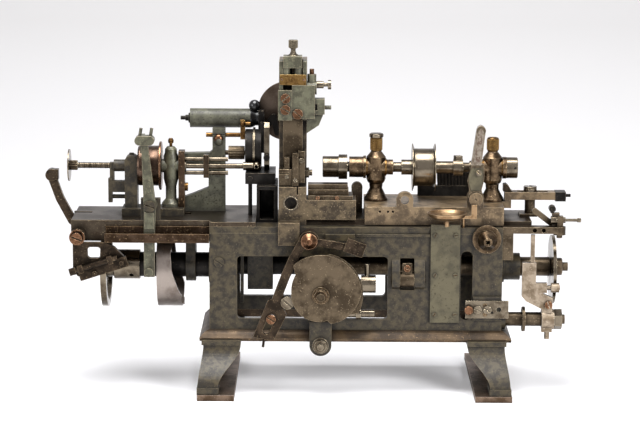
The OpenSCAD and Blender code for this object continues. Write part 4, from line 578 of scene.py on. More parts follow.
class Stock:
    """Plain shapes of one piece, gathered in one mesh in millimetres."""

    def __init__(self) -> None:
        """Starts with nothing."""
        self.mesh = bmesh.new()

    def bar(
        self, axis: Axis, radius: float, start: float, end: float, at: tuple[float, float], sides: int = 32
    ) -> "Stock":
        """Adds a round bar, or with six sides a hexagon.

        Args:
            axis: the bar's axis.
            radius: radius, measured to the corners of a hexagon.
            start: station of one end.
            end: station of the other end.
            at: the axis's two other coordinates.
            sides: number of sides.

        Returns:
            This stock.
        """
        turn = axis.value.to_track_quat("Z", "Y").to_matrix().to_4x4()
        place = Matrix.Translation(along(axis, (start + end) / 2, at)) @ turn
        bmesh.ops.create_cone(
            self.mesh, cap_ends=True, segments=sides, radius1=radius, radius2=radius, depth=abs(end - start),
            matrix=place,
        )
        return self

    def ball(self, centre: Point, radius: float, squash: Point = (1, 1, 1)) -> "Stock":
        """Adds a ball, flattened where asked.

        Args:
            centre: its centre.
            radius: its radius.
            squash: its stretch along X, Y and Z.

        Returns:
            This stock.
        """
        place = Matrix.Translation(centre) @ Matrix.Diagonal((*squash, 1))
        bmesh.ops.create_uvsphere(self.mesh, u_segments=24, v_segments=14, radius=radius, matrix=place)
        return self

    def block(self, low: Point, high: Point) -> "Stock":
        """Adds a block between two corners.

        Args:
            low: its lowest corner.
            high: its highest corner.

        Returns:
            This stock.
        """
        first, last = Vector(low), Vector(high)
        place = Matrix.Translation((first + last) / 2) @ Matrix.Diagonal((*(last - first), 1))
        bmesh.ops.create_cube(self.mesh, size=1.0, matrix=place)
        return self

    def turned(
        self, axis: Axis, profile: Sequence[tuple[float, float]], at: tuple[float, float]
    ) -> "Stock":
        """Adds a turned shape.

        Args:
            axis: the axis that it is turned about.
            profile: stations and radii, from one end on the axis to the other end on the axis.
            at: the axis's two other coordinates.

        Returns:
            This stock.
        """
        across = {Axis.X: (Axis.Y, Axis.Z), Axis.Y: (Axis.Z, Axis.X), Axis.Z: (Axis.X, Axis.Y)}[axis]
        turns = [2 * math.pi * i / TURNED_SIDES for i in range(TURNED_SIDES)]
        spokes = [math.cos(a) * across[0].value + math.sin(a) * across[1].value for a in turns]
        rings = []
        for station, radius in profile:
            middle = along(axis, station, at)
            reaches = [middle + radius * spoke for spoke in spokes] if radius else [middle]
            rings.append([self.mesh.verts.new(point) for point in reaches])
        for near, far in zip(rings, rings[1:]):
            for i in range(TURNED_SIDES):
                j = i + 1
                corners = [near[i % len(near)], near[j % len(near)], far[j % len(far)], far[i % len(far)]]
                face = list(dict.fromkeys(corners))
                if len(face) > 2:
                    self.mesh.faces.new(face)
        return self

    def plate(self, axis: Axis, outline: Sequence[tuple[float, float]], low: float, high: float) -> "Stock":
        """Adds a flat plate cut to an outline.

        Args:
            axis: the axis square to the plate.
            outline: its corners, in the two other coordinates.
            low: station of one face.
            high: station of the other face.

        Returns:
            This stock.
        """
        bottom = [self.mesh.verts.new(along(axis, low, p)) for p in outline]
        top = [self.mesh.verts.new(along(axis, high, p)) for p in outline]
        self.mesh.faces.new(bottom)
        self.mesh.faces.new(top[::-1])
        count = len(outline)
        for i in range(count):
            j = (i + 1) % count
            self.mesh.faces.new([bottom[j], bottom[i], top[i], top[j]])
        return self

    def screw(
        self, axis: Axis, radius: float, seat: float, height: float, at: tuple[float, float], slot_deg: float
    ) -> "Stock":
        """Adds a round slotted screw head as two half discs with the slot's floor between them.

        Args:
            axis: the screw's axis.
            radius: radius of the head.
            seat: station of the face that it sits on.
            height: height of the head, negative where it points down the axis.
            at: the axis's two other coordinates.
            slot_deg: turn of the slot.

        Returns:
            This stock.
        """
        floor = seat + height * SLOT_FLOOR
        self.bar(axis, radius, min(seat, floor), max(seat, floor), at)
        half = SLOT_HALF * radius
        arc = [math.radians(SLOT_STOP_DEG * (2 * i / SLOT_FACETS - 1)) for i in range(SLOT_FACETS + 1)]
        shape = [(max(radius * math.cos(a), half), radius * math.sin(a)) for a in arc]
        for side_deg in (0, 180):
            turn = math.radians(slot_deg + side_deg)
            cos, sin = math.cos(turn), math.sin(turn)
            corners = [(at[0] + x * cos - y * sin, at[1] + x * sin + y * cos) for x, y in shape]
            self.plate(axis, corners, floor, seat + height)
        return self

    def mesh_in_metres(self, name: str) -> bpy.types.Mesh:
        """Closes the work: turns the faces outwards, scales to metres and shades round faces smooth.

        Args:
            name: the mesh's name.

        Returns:
            The finished mesh.
        """
        bmesh.ops.recalc_face_normals(self.mesh, faces=self.mesh.faces)
        bmesh.ops.scale(self.mesh, vec=(MM, MM, MM), verts=self.mesh.verts)
        made = bpy.data.meshes.new(name)
        self.mesh.to_mesh(made)
        self.mesh.free()
        made.shade_smooth()
        made.set_sharp_from_angle(angle=math.radians(SHARP_DEG))
        return made


class Pattern:
    """A Geometry Nodes tree with named inputs, used once per piece and turned into a plain mesh.

    Attributes:
        tree: the node tree.
        inputs: the tree's input sockets by name.
    """

    def __init__(self, name: str, sizes: Sequence[str]) -> None:
        """Starts a tree with float inputs.

        Args:
            name: the tree's name.
            sizes: names of its inputs.
        """
        self.tree = bpy.data.node_groups.new(name, "GeometryNodeTree")
        self.tree.interface.new_socket("Geometry", in_out="OUTPUT", socket_type="NodeSocketGeometry")
        self.inputs = {
            size: self.tree.interface.new_socket(size, in_out="INPUT", socket_type="NodeSocketFloat")
            for size in sizes
        }
        finish = self.tree.interface.new_socket("Finish", in_out="INPUT", socket_type="NodeSocketMaterial")
        self.inputs["Finish"] = finish
        self.source = self.tree.nodes.new("NodeGroupInput").outputs

    def close(self, geometry: bpy.types.NodeSocket) -> None:
        """Ends the tree in Realize Instances and Set Material.

        Args:
            geometry: what the tree has made.
        """
        real = add_node(self.tree, "GeometryNodeRealizeInstances", inputs={0: geometry}).outputs[0]
        worn = add_node(
            self.tree, "GeometryNodeSetMaterial", inputs={"Geometry": real, "Material": self.source["Finish"]}
        ).outputs[0]
        add_node(self.tree, "NodeGroupOutput", inputs={0: worn})

    def make(
        self, name: str, sizes: dict[str, float], finish: bpy.types.Material, axis: Axis, start: Vector
    ) -> bpy.types.Object:
        """Runs the tree and lays its result along an axis.

        Args:
            name: the piece's name.
            sizes: values of the inputs in metres or numbers.
            finish: the material.
            axis: the axis that takes the place of the tree's Z.
            start: where the tree's origin goes, in millimetres.

        Returns:
            The piece as a plain mesh object at the origin.
        """
        carrier = bpy.data.objects.new(name + "_tree", bpy.data.meshes.new(name + "_tree"))
        bpy.context.collection.objects.link(carrier)
        modifier = carrier.modifiers.new("pattern", "NODES")
        modifier.node_group = self.tree
        for size, value in sizes.items():
            modifier[self.inputs[size].identifier] = value
        modifier[self.inputs["Finish"].identifier] = finish
        ready = carrier.evaluated_get(bpy.context.evaluated_depsgraph_get())
        mesh = bpy.data.meshes.new_from_object(ready)
        carrier.modifiers.remove(modifier)
        bpy.data.objects.remove(carrier)
        turn = axis.value.to_track_quat("Z", "Y").to_matrix().to_4x4()
        mesh.transform(Matrix.Translation(start * MM) @ turn)
        mesh.name = name
        piece = bpy.data.objects.new(name, mesh)
        bpy.context.collection.objects.link(piece)
        return piece


class Thread(Pattern):
    """A screw thread: a small triangle swept along a helix."""

    def __init__(self) -> None:
        """Builds the tree."""
        super().__init__("screw_thread", ("Turns", "Radius", "Length", "Ridge"))
        path = add_node(
            self.tree, "GeometryNodeCurveSpiral",
            inputs={
                "Resolution": 20, "Rotations": self.source["Turns"], "Start Radius": self.source["Radius"],
                "End Radius": self.source["Radius"], "Height": self.source["Length"],
            },
        ).outputs[0]
        section = add_node(
            self.tree, "GeometryNodeCurvePrimitiveCircle",
            inputs={"Resolution": 3, "Radius": self.source["Ridge"]},
        ).outputs[0]
        swept = add_node(
            self.tree, "GeometryNodeCurveToMesh",
            inputs={"Curve": path, "Profile Curve": section, "Fill Caps": True},
        ).outputs[0]
        self.close(swept)


class Ribs(Pattern):
    """Straight ribs set round a ring, as on a knurled head."""

    def __init__(self) -> None:
        """Builds the tree."""
        super().__init__("knurl_ribs", ("Count", "Radius", "Length", "Width"))
        whole = add_node(
            self.tree, "ShaderNodeMath", {"operation": "ROUND"}, {0: self.source["Count"]}
        ).outputs[0]
        spots = add_node(self.tree, "GeometryNodePoints", inputs={"Count": whole}).outputs[0]
        number = add_node(self.tree, "GeometryNodeInputIndex").outputs[0]
        share = add_node(
            self.tree, "ShaderNodeMath", {"operation": "DIVIDE"}, {0: number, 1: whole}
        ).outputs[0]
        angle = add_node(
            self.tree, "ShaderNodeMath", {"operation": "MULTIPLY"}, {0: share, 1: 2 * math.pi}
        ).outputs[0]
        turn = add_node(self.tree, "ShaderNodeCombineXYZ", inputs={"Z": angle}).outputs[0]
        size = add_node(
            self.tree, "ShaderNodeCombineXYZ",
            inputs={"X": self.source["Width"], "Y": self.source["Width"], "Z": self.source["Length"]},
        ).outputs[0]
        rib = add_node(self.tree, "GeometryNodeMeshCube", inputs={"Size": size}).outputs[0]
        skew = add_node(
            self.tree, "GeometryNodeTransform", inputs={"Geometry": rib, "Rotation": (0, 0, math.pi / 4)}
        ).outputs[0]
        placed = add_node(
            self.tree, "GeometryNodeInstanceOnPoints",
            inputs={"Points": spots, "Instance": skew, "Rotation": turn},
        ).outputs[0]
        out = add_node(self.tree, "ShaderNodeCombineXYZ", inputs={"X": self.source["Radius"]}).outputs[0]
        moved = add_node(
            self.tree, "GeometryNodeTranslateInstances", inputs={"Instances": placed, "Translation": out}
        ).outputs[0]
        self.close(moved)


# Radius of a thread's triangle as a share of the pitch, and width of a rib as a share of half its pitch
THREAD_RIDGE = 0.36
RIB_WIDTH = 1.35


class Bench:
    """Where pieces get their finish and their body.

    Attributes:
        finishes: the machine's finishes.
    """

    def __init__(self, finishes: Finishes) -> None:
        """Sets the bench up with its patterns.

        Args:
            finishes: the machine's finishes.
        """
        self.finishes = finishes
        self.thread_pattern = Thread()
        self.rib_pattern = Ribs()

    def fit(self, name: str, stock: Stock, body: str, finish: str, slot: Slot) -> None:
        """Fits a piece made of plain shapes.

        Args:
            name: the piece's name.
            stock: its shapes.
            body: the body it moves with.
            finish: name of its finish.
            slot: the record's slot; not used.
        """
        piece = bpy.data.objects.new(name, stock.mesh_in_metres(name))
        bpy.context.collection.objects.link(piece)
        self._hand_over(piece, body, finish)

    def thread(
        self, name: str, axis: Axis, radius: float, start: float, end: float, at: tuple[float, float],
        pitch: float, body: str, finish: str,
    ) -> None:
        """Fits a screw thread.

        Args:
            name: the piece's name.
            axis: its axis.
            radius: radius of the rod that it lies on.
            start: station of its start.
            end: station of its end.
            at: the axis's two other coordinates.
            pitch: distance between turns.
            body: the body it moves with.
            finish: name of its finish.
        """
        sizes = {
            "Turns": (end - start) / pitch, "Radius": radius * MM, "Length": (end - start) * MM,
            "Ridge": THREAD_RIDGE * pitch * MM,
        }
        first = along(axis, start, at)
        piece = self.thread_pattern.make(name, sizes, self.finishes.made[finish], axis, first)
        piece.data.shade_smooth()
        self._hand_over(piece, body, finish)

    def ribs(
        self, name: str, axis: Axis, radius: float, start: float, end: float, at: tuple[float, float],
        count: int, body: str, finish: str,
    ) -> None:
        """Fits the ribs of a knurled head.

        Args:
            name: the piece's name.
            axis: the head's axis.
            radius: radius of the head.
            start: station of one end.
            end: station of the other end.
            at: the axis's two other coordinates.
            count: number of ribs.
            body: the body it moves with.
            finish: name of its finish.
        """
        sizes = {
            "Count": float(count), "Radius": radius * MM, "Length": (end - start) * MM,
            "Width": RIB_WIDTH * math.pi * radius / count * MM,
        }
        middle = along(axis, (start + end) / 2, at)
        piece = self.rib_pattern.make(name, sizes, self.finishes.made[finish], axis, middle)
        self._hand_over(piece, body, finish)

    def _hand_over(self, piece: bpy.types.Object, body: str, finish: str) -> None:
        """Gives a piece its finish and its body.

        Args:
            piece: the piece.
            body: the body it moves with.
            finish: name of its finish.
        """
        wear(piece, self.finishes.made[finish])
        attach(piece, body)
        LOG.info("%s rides %s", piece.name, body)


@dataclass(frozen=True)
class FrontScrews:
    """Slotted screw heads of one finish on one body, all seen from the front.

    Attributes:
        name: name of the piece that holds them.
        body: the body they sit on.
        finish: name of their finish.
        slot: the record's slot.
        height: how far a head stands out.
        heads: X, Z, Y of the seat, radius and turn of the slot of each head.
    """

    name: str
    body: str
    finish: str
    slot: Slot
    height: float
    heads: tuple[tuple[float, float, float, float, float], ...]

    def fit(self, bench: Bench) -> None:
        """Fits the screws.

        Args:
            bench: where pieces get their finish and body.
        """
        stock = Stock()
        for x, z, seat, radius, turn in self.heads:
            stock.screw(Axis.Y, radius, seat, -self.height, (x, z), turn)
        bench.fit(self.name, stock, self.body, self.finish, self.slot)


SCREWS = (
    FrontScrews("cover_screw_heads", "frame", "bronze", Slot.BRONZE, 0.9, (
        (149.5, 99, -66, 2.3, 20), (149.5, 148.2, -66, 2.3, 75), (149.5, 198, -66, 2.3, 130),
        (174.5, 99, -66, 2.3, 160), (174.5, 148.2, -66, 2.3, 40), (174.5, 198, -66, 2.3, 95))),
    FrontScrews("plate_screw_heads", "frame", "browned_steel", Slot.BRIGHT, 0.6, (
        (211.4, 111.3, -69, 2.7, 30), (211.6, 99.9, -69, 2.7, 30))),
    FrontScrews("head_screws", "frame", "bronze", Slot.BRONZE, 2.9, (
        (-35, 349, -46, 5.9, 60), (-35, 363, -46, 5.9, 130), (-20, 344, -45, 6.3, 50))),
    FrontScrews("plate_pins", "frame", "bronze", Slot.BRONZE, 0.6, (
        (-39.5, 386, -44.5, 1.5, 0), (-12.5, 386, -44.5, 1.5, 90))),
    FrontScrews("pillar_plug", "frame", "bronze", Slot.BRONZE, 1.4, (
        (-115.7, 162.4, -62, 3.4, 35),)),
    FrontScrews("rocker_clamp_screw", "rocker", "bronze", Slot.BRONZE, 4.8, (
        (-51, 97, -88, 5.8, 60),)),
    FrontScrews("lever_shaft_screw", "feed_lever", "bronze", Slot.BRONZE, 4.3, (
        (-289, 193.5, -76, 6.9, 70),)),
    FrontScrews("shifter_screw", "belt_shifter", "polished_steel", Slot.BRIGHT, 2.6, (
        (-200, 232.5, -67.2, 6.4, 25),)),
    FrontScrews("lever_stud_head", "saddle", "thin_enamel", Slot.GREEN, 3.2, (
        (198.5, 242.5, -62.3, 8.4, 15),)),
    FrontScrews("lever_pin_head", "shift_collar", "polished_steel", Slot.BRIGHT, 2.7, (
        (201.5, 275.5, -63.4, 3.5, 50),)),
    FrontScrews("slide_block_screws", "tool_slide", "polished_steel", Slot.BRIGHT, 1.4, (
        (-15, 286.5, -46, 3.2, 30), (-22.5, 262, -48, 2.6, 80), (-33, 266, -46, 2.4, 10))),
    FrontScrews("rocker_block_screw", "rock_shaft", "bronze", Slot.BRONZE, 2.7, (
        (115.5, 156.6, -65.5, 4.3, 60),)),
    FrontScrews("right_arm_screw", "right_rocker", "bronze", Slot.BRONZE, 3.2, (
        (290.5, 110.5, -58, 4.8, 20),)),
    FrontScrews("slide_bar_screws", "cross_slide", "bronze", Slot.BRONZE, 1.7, (
        (5, 240.5, -48, 2.5, 5), (29, 240.5, -48, 2.5, 29))),
)


@dataclass(frozen=True)
class ToolHead:
    """Brass plate, thumb screw, pins and socket ring of the tool column, the bolt and the knob of its slide.

    Attributes:
        x: middle of the column.
        plate_z: lower edge of the brass plate.
        plate_size: width and height of the brass plate.
        screw_y: depth at which the thumb screw and the pins sit.
        thumb_z: height of the thumb screw.
        side_pin_z: height of the pin in the head's side.
        socket_z: height of the socket in the column's foot.
        bolt_at: depth and height of the slide's bolt.
    """

    x: float = -26.0
    plate_z: float = 379.5
    plate_size: tuple[float, float] = (32.0, 12.5)
    screw_y: float = -36.0
    thumb_z: float = 379.0
    side_pin_z: float = 351.0
    socket_z: float = 234.0
    bolt_at: tuple[float, float] = (-32.0, 269.5)

    def fit(self, bench: Bench) -> None:
        """Fits the fittings of the tool head.

        Args:
            bench: where pieces get their finish and body.
        """
        width, height = self.plate_size
        left, right = self.x - width / 2, self.x + width / 2
        top = self.plate_z + height
        plate = Stock().block((left, -44.5, self.plate_z), (right, -43, top))
        bench.fit("bare_plate", plate, "frame", "bright_brass", Slot.BRASS)
        pin = Stock().bar(Axis.Z, 2.8, top - 0.1, top + 6.5, (self.x + 23, self.screw_y))
        side = (self.screw_y, self.side_pin_z)
        pin.turned(Axis.X, ((4.5, 0), (4.5, 2.9), (13.3, 2.9), (13.3, 0)), side)
        bench.fit("copper_pins", pin, "frame", "bronze", Slot.BRONZE)
        thumb = Stock().turned(Axis.X, (
            (3, 0), (3, 4.5), (11.2, 4.5), (12.2, 2.3), (16.4, 2.3), (16.8, 5.8), (20.7, 5.8), (20.7, 0)),
            (self.screw_y, self.thumb_z))
        bench.fit("thumb_screw", thumb, "frame", "polished_steel", Slot.BRIGHT)
        socket = (self.x - 2, self.socket_z)
        ring = Stock().turned(Axis.Y, ((-50, 7.5), (-50.9, 7.7), (-50.9, 8.9), (-49.9, 9.1)), socket)
        bench.fit("socket_ring", ring, "frame", "polished_steel", Slot.BRIGHT)
        bolt = Stock().bar(Axis.X, 6.4, -11, -5.6, self.bolt_at, sides=6)
        bolt.bar(Axis.X, 3.7, -5.6, -1.8, self.bolt_at)
        bench.fit("slide_bolt", bolt, "tool_slide", "polished_steel", Slot.BRIGHT)
        bench.ribs(
            "knob_ribs", Axis.Z, 5.05, 423.5, 432.5, (self.x, -27), 22, "slide_knob", "polished_steel")


@dataclass(frozen=True)
class ThreadingHead:
    """What shows on the threading headstock: oil cups, collars, lever, drum casting and clamp bar.

    Attributes:
        pillars: places of the two pillars along the bed.
        axis_z: height of the spindle.
        cup_z: foot of the oil cups.
        lever_y: front face of the lever.
        bar_z: underside of the clamp bar.
        fin_x: place of the first fin of the drum casting.
        fin_pitch: distance between its fins.
        fin_count: number of its fins.
    """

    pillars: tuple[float, float] = (77.5, 222.5)
    axis_z: float = 272.0
    cup_z: float = 293.0
    lever_y: float = -61.3
    bar_z: float = 231.4
    fin_x: float = 157.0
    fin_pitch: float = 4.2
    fin_count: int = 9

    def fit(self, bench: Bench) -> None:
        """Fits the threading headstock's pieces.

        Args:
            bench: where pieces get their finish and body.
        """
        z = self.cup_z
        left, right = self.pillars
        bench.ribs(
            "left_cup_ribs", Axis.Z, 7.0, z + 1, z + 15.6, (left, 0), 30, "saddle", "aged_brass")
        bench.ribs(
            "right_cup_ribs", Axis.Z, 7.1, z + 2, z + 15, (right, 0), 34, "saddle", "aged_brass")
        cap = Stock().turned(Axis.Z, (
            (z + 16.8, 0), (z + 16.8, 8.7), (z + 19.6, 9.0), (z + 21, 8.3), (z + 21.7, 7), (z + 21.7, 0)),
            (left, 0))
        bench.fit("cup_cap", cap, "saddle", "polished_steel", Slot.BRIGHT)
        self._collars(bench, right)
        self._lever(bench)
        self._castings(bench)

    def _collars(self, bench: Bench, right: float) -> None:
        """Fits the end collar and the pillars' thrust rings.

        Args:
            bench: where pieces get their finish and body.
            right: place of the right pillar.
        """
        collar = Stock().turned(Axis.X, (
            (right + 16.8, 0), (right + 16.8, 12.6), (right + 17.4, 13.25), (right + 30.2, 13.25),
            (right + 30.9, 12.6), (right + 30.9, 0)), (0, self.axis_z))
        bench.fit("end_collar", collar, "saddle", "polished_steel", Slot.BRIGHT)
        # A thin black disc on the collar's face paints the shade inside its small hole
        hole_shade = Stock().bar(Axis.Y, 1.5, -13.35, -12.9, (right + 27.5, self.axis_z + 1.5))
        bench.fit("collar_hole_shade", hole_shade, "saddle", "black_iron", Slot.DARK)
        rings = Stock()
        for place in self.pillars:
            for start in (place - 12.9, place + 10.9):
                end = start + 2
                ring = ((start, 0), (start, 10.9), (end, 10.9), (end, 0))
                rings.turned(Axis.X, ring, (0, self.axis_z))
        bench.fit("thrust_rings", rings, "saddle", "aged_brass", Slot.BRASS)

    def _lever(self, bench: Bench) -> None:
        """Fits the lever's handle, the sunk panel in it and the painted leaf below.

        Args:
            bench: where pieces get their finish and body.
        """
        handle = Stock().plate(Axis.Y, (
            (191.9, 284.4), (193.7, 297.5), (197.9, 327.3), (199.6, 331.3), (203.2, 333.4), (207, 331.8),
            (209.3, 327.4), (206.1, 297.5), (204.7, 284.4)), self.lever_y, self.lever_y + 8.5)
        bench.fit("lever_handle", handle, "thread_lever", "lever_steel", Slot.GREEN)
        panel = Stock().plate(Axis.Y, (
            (195.2, 288), (196.4, 299), (200, 325.5), (203.4, 329.6), (206.5, 325.8), (203.6, 299),
            (202.3, 288)), self.lever_y - 0.4, self.lever_y + 0.1)
        bench.fit("lever_inset", panel, "thread_lever", "rusty_inset", Slot.GREEN)
        leaf = Stock().plate(Axis.Y, (
            (192.6, 253), (203.4, 253), (206.6, 264), (206.6, 280.6), (192.6, 280.6), (189.4, 272),
            (189.6, 262)), self.lever_y - 0.3, self.lever_y + 0.4)
        bench.fit("lever_leaf", leaf, "thread_lever", "cover_enamel", Slot.GREEN)

    def _castings(self, bench: Bench) -> None:
        """Fits the dark casting behind the drum and the clamp bar's end, nut and neck.

        Args:
            bench: where pieces get their finish and body.
        """
        dark = Stock().block((131, 32, 230.4), (196, 42, 243.5))
        dark.plate(Axis.Y, (
            (156, 243), (195, 243), (196, 262), (188, 266), (172, 262.5), (160, 265.5), (155, 258)), 33, 41)
        for i in range(self.fin_count):
            x = self.fin_x + self.fin_pitch * i
            dark.block((x, 31.8, 244), (x + 1.6, 33.2, 260))
        bench.fit("drum_casting", dark, "saddle", "black_iron", Slot.DARK)
        end = Stock().block((300.8, -9.5, self.bar_z), (313.8, 9.5, self.bar_z + 11.6))
        end.bar(Axis.X, 2.0, 313.8, 320.5, (0, self.bar_z + 6.1))
        bench.fit("clamp_bar_end", end, "saddle", "black_iron", Slot.DARK)
        nut = Stock().screw(Axis.Z, 8.3, self.bar_z + 11, 6.6, (270, 0), 12)
        bench.fit("clamp_nut", nut, "frame", "polished_steel", Slot.BRIGHT)
        neck = Stock().plate(Axis.Y, (
            (236, 243), (236, 252), (240, 252.5), (243.5, 249), (246, 244.2), (248, 243)), -6, 6)
        bench.fit("clamp_bar_neck", neck, "saddle", "dark_patina", Slot.BROWN)


@dataclass(frozen=True)
class Headstock:
    """What shows on the sliding headstock: post, brown end plate, rods, acorn, flange and feed thread.

    Attributes:
        post_x: place of the turned post.
        end_x: right face of the brown end plate.
        axis_z: height of the spindle.
        lever_at: place and height of the feed lever's shaft.
    """

    post_x: float = -178.0
    end_x: float = -161.0
    axis_z: float = 272.0
    lever_at: tuple[float, float] = (-289.0, 193.5)

    def fit(self, bench: Bench) -> None:
        """Fits the headstock's pieces.

        Args:
            bench: where pieces get their finish and body.
        """
        z = self.axis_z
        post = Stock().turned(Axis.Z, (
            (221, 0), (221, 11.8), (225.2, 11.8), (231, 6.9), (246, 6.7), (256, 9.2), (284.2, 9.2),
            (288.3, 7.7), (293.2, 7.3), (296.3, 4.9), (296.3, 0)), (self.post_x, 0))
        post.bar(Axis.X, 8.3, self.post_x - 11.2, self.end_x - 7, (0, z))
        bench.fit("headstock_post", post, "headstock", "rubbed_green", Slot.DARK)
        plate = Stock().block((self.end_x - 7.3, -9.3, 221.1), (self.end_x + 0.3, 9.3, 291.3))
        bench.fit("end_plate", plate, "headstock", "russet_steel", Slot.DARK)
        rods = Stock()
        for height in (z + 8.5, z - 8.5):
            rods.bar(Axis.X, 2.75, self.end_x + 0.2, self.end_x + 54.2, (0, height))
        bench.fit("guide_rods", rods, "headstock", "polished_steel", Slot.BRIGHT)
        cross = Stock().block((self.end_x + 23.8, -5.3, z - 14.3), (self.end_x + 30.2, 5.3, z + 14.3))
        bench.fit("rod_crosspiece", cross, "headstock", "dark_patina", Slot.DARK)
        acorn = Stock().turned(Axis.Z, (
            (z + 24.2, 0), (z + 24.2, 1.9), (z + 28, 1.9), (z + 29, 3.3), (z + 32, 3.7), (z + 34.7, 2.2),
            (z + 34.7, 0)), (self.post_x, 0))
        acorn.bar(Axis.X, 5.3, self.end_x, self.end_x + 4.4, (-2, z - 26))
        bench.fit("post_acorn", acorn, "headstock", "aged_brass", Slot.DARK)
        flange = Stock().turned(Axis.X, (
            (-192.3, 0), (-192.3, 29.2), (-191.6, 30.3), (-189.9, 30.3), (-189.3, 29.2), (-189.3, 0)), (0, z))
        bench.fit("pulley_flange", flange, "main_spindle", "bronze", Slot.DARK)
        bench.thread(
            "feed_thread", Axis.X, 3.35, -293, -250, (0, z), 2.2, "headstock", "dark_patina")
        bench.ribs(
            "feed_collar_ribs", Axis.X, 5.2, -303.5, -294.5, (0, z), 16, "headstock", "dark_patina")
        ring = Stock().turned(Axis.Y, ((-71.4, 7.6), (-71.4, 9.6), (-69.6, 9.6), (-69.6, 7.6)), self.lever_at)
        bench.fit("lever_ring", ring, "feed_lever", "bronze", Slot.BRONZE)


@dataclass(frozen=True)
class GuideGroup:
    """Brass rod and ball of the guide bracket, bright rim of the guide head and the overhead shaft's ends.

    Attributes:
        bracket_x: right face of the guide bracket.
        rod_z: height of the brass rod.
        head_at: depth and height of the guide head's axis.
        shaft_at: depth and height of the overhead shaft.
        knob_x: place of the shaft's ball knob.
    """

    bracket_x: float = -111.0
    rod_z: float = 308.0
    head_at: tuple[float, float] = (26.0, 291.0)
    shaft_at: tuple[float, float] = (40.0, 327.0)
    knob_x: float = -75.0

    def fit(self, bench: Bench) -> None:
        """Fits the guide's pieces.

        Args:
            bench: where pieces get their finish and body.
        """
        x, z = self.bracket_x, self.rod_z
        ball = Stock().ball((x - 8.4, 15.4, z - 4.5), 6.0, (1, 0.62, 1))
        bench.fit("clamp_ball", ball, "frame", "bronze", Slot.BRONZE)
        rod = Stock().bar(Axis.X, 2.85, x + 0.2, x + 19, (23, z))
        rod.bar(Axis.X, 2.85, x - 24.2, x - 16.1, (23, z))
        rod.block((x + 18.8, 18.8, z - 5.2), (x + 24.7, 26.2, z + 19.2))
        rod.ball((x + 21.6, 18, z + 14), 3.6)
        rod.bar(Axis.X, 2.6, x + 24.5, x + 31.3, (23, z + 14))
        bench.fit("guide_rod", rod, "frame", "aged_brass", Slot.BRASS)
        rim = Stock().plate(Axis.X, (
            (9.7, 272.6), (14.9, 265.6), (30.2, 265.6), (33.3, 291), (30.2, 321.3), (13.8, 325.3),
            (9.7, 319.3)), -62.3, -55.7)
        rim.turned(Axis.X, ((-76.3, 24.1), (-76.3, 26.3), (-73.7, 26.3), (-73.7, 24.1)), self.head_at)
        bench.fit("bright_rim", rim, "frame", "polished_steel", Slot.BRIGHT)
        shaft_y, shaft_z = self.shaft_at
        black = Stock().ball((self.knob_x, shaft_y, shaft_z + 16), 7.3)
        black.turned(Axis.X, (
            (-80.2, 0), (-80.2, 12.1), (-77, 11.3), (-74, 9.4), (-69.8, 9.3), (-69.8, 6.3), (-62.8, 6.3),
            (-62.8, 0)), self.shaft_at)
        black.bar(Axis.Z, 3.2, shaft_z + 7, shaft_z + 13, (self.knob_x, shaft_y))
        bench.fit("shaft_knob", black, "frame", "glossy_black", Slot.DARK)
        tip = Stock().turned(Axis.X, (
            (-168, 0), (-168, 2.5), (-162.3, 2.5), (-161.8, 3.7), (-158.2, 3.7), (-157.7, 6.3), (-155.9, 6.3),
            (-155.9, 0)), self.shaft_at)
        bench.fit("shaft_tip", tip, "frame", "black_iron", Slot.DARK)


@dataclass(frozen=True)
class PlinthFillet:
    """The thin fillet under the plinth's moulding, which shows as its lower edge.

    Attributes:
        low: left front corner of the plinth.
        high: right back corner of the plinth.
        top: height of the plinth's underside.
        depth: height of the fillet.
        width: width of the fillet.
    """

    low: tuple[float, float] = (-139.4, -73.9)
    high: tuple[float, float] = (244.4, 73.9)
    top: float = 68.0
    depth: float = 2.4
    width: float = 3.4

    def fit(self, bench: Bench) -> None:
        """Fits the fillet's four runs.

        Args:
            bench: where pieces get their finish and body.
        """
        (left, front), (right, back) = self.low, self.high
        bottom, top, width = self.top - self.depth, self.top + 0.2, self.width
        fillet = Stock().block((left, front, bottom), (right, front + width, top))
        fillet.block((left, back - width, bottom), (right, back, top))
        fillet.block((left, front, bottom), (left + width, back, top))
        fillet.block((right - width, front, bottom), (right, back, top))
        bench.fit("plinth_fillet", fillet, "frame", "dull_russet", Slot.COPPER)


@dataclass(frozen=True)
class RightEnd:
    """Small pieces of the right end: post, slotted plug, nut of the lower shaft and the lower plate's roller.

    Attributes:
        plug_at: place and height of the slotted plug.
        shaft_at: depth and height of the lower shaft.
    """

    plug_at: tuple[float, float] = (293.4, 229.0)
    shaft_at: tuple[float, float] = (-50.0, 90.5)

    def fit(self, bench: Bench) -> None:
        """Fits the right end's pieces.

        Args:
            bench: where pieces get their finish and body.
        """
        post = Stock().block((293.3, -51, 207.4), (302.4, -45, 224))
        bench.fit("bracket_post", post, "frame", "thin_enamel", Slot.BROWN)
        x, z = self.plug_at
        plug = Stock().screw(Axis.Y, 4.2, -50.6, -2.2, self.plug_at, 40)
        plug.bar(Axis.Y, 4.2, -50.6, -42, self.plug_at)
        plug.block((x - 1.8, -49, z - 5.6), (x + 1.8, -44, z - 1))
        bench.fit("slotted_plug", plug, "frame", "black_iron", Slot.DARK)
        nut = Stock().bar(Axis.X, 12.8, 298.4, 307.7, self.shaft_at, sides=6)
        bench.fit("lower_nut", nut, "frame", "polished_steel", Slot.BRIGHT)
        roller = Stock().turned(Axis.Y, (
            (-75.4, 0), (-75.4, 4.6), (-74.8, 5.4), (-68.9, 5.4), (-68.9, 0)), (191.5, 106))
        bench.fit("belt_guide", roller, "frame", "bronze", Slot.BRONZE)
        # A thin black disc on the lower plate paints the shade inside a hole
        hole_shade = Stock().bar(Axis.Y, 1.7, -69.15, -68.9, (220.5, 102.3))
        bench.fit("plate_hole_shade", hole_shade, "frame", "black_iron", Slot.DARK)


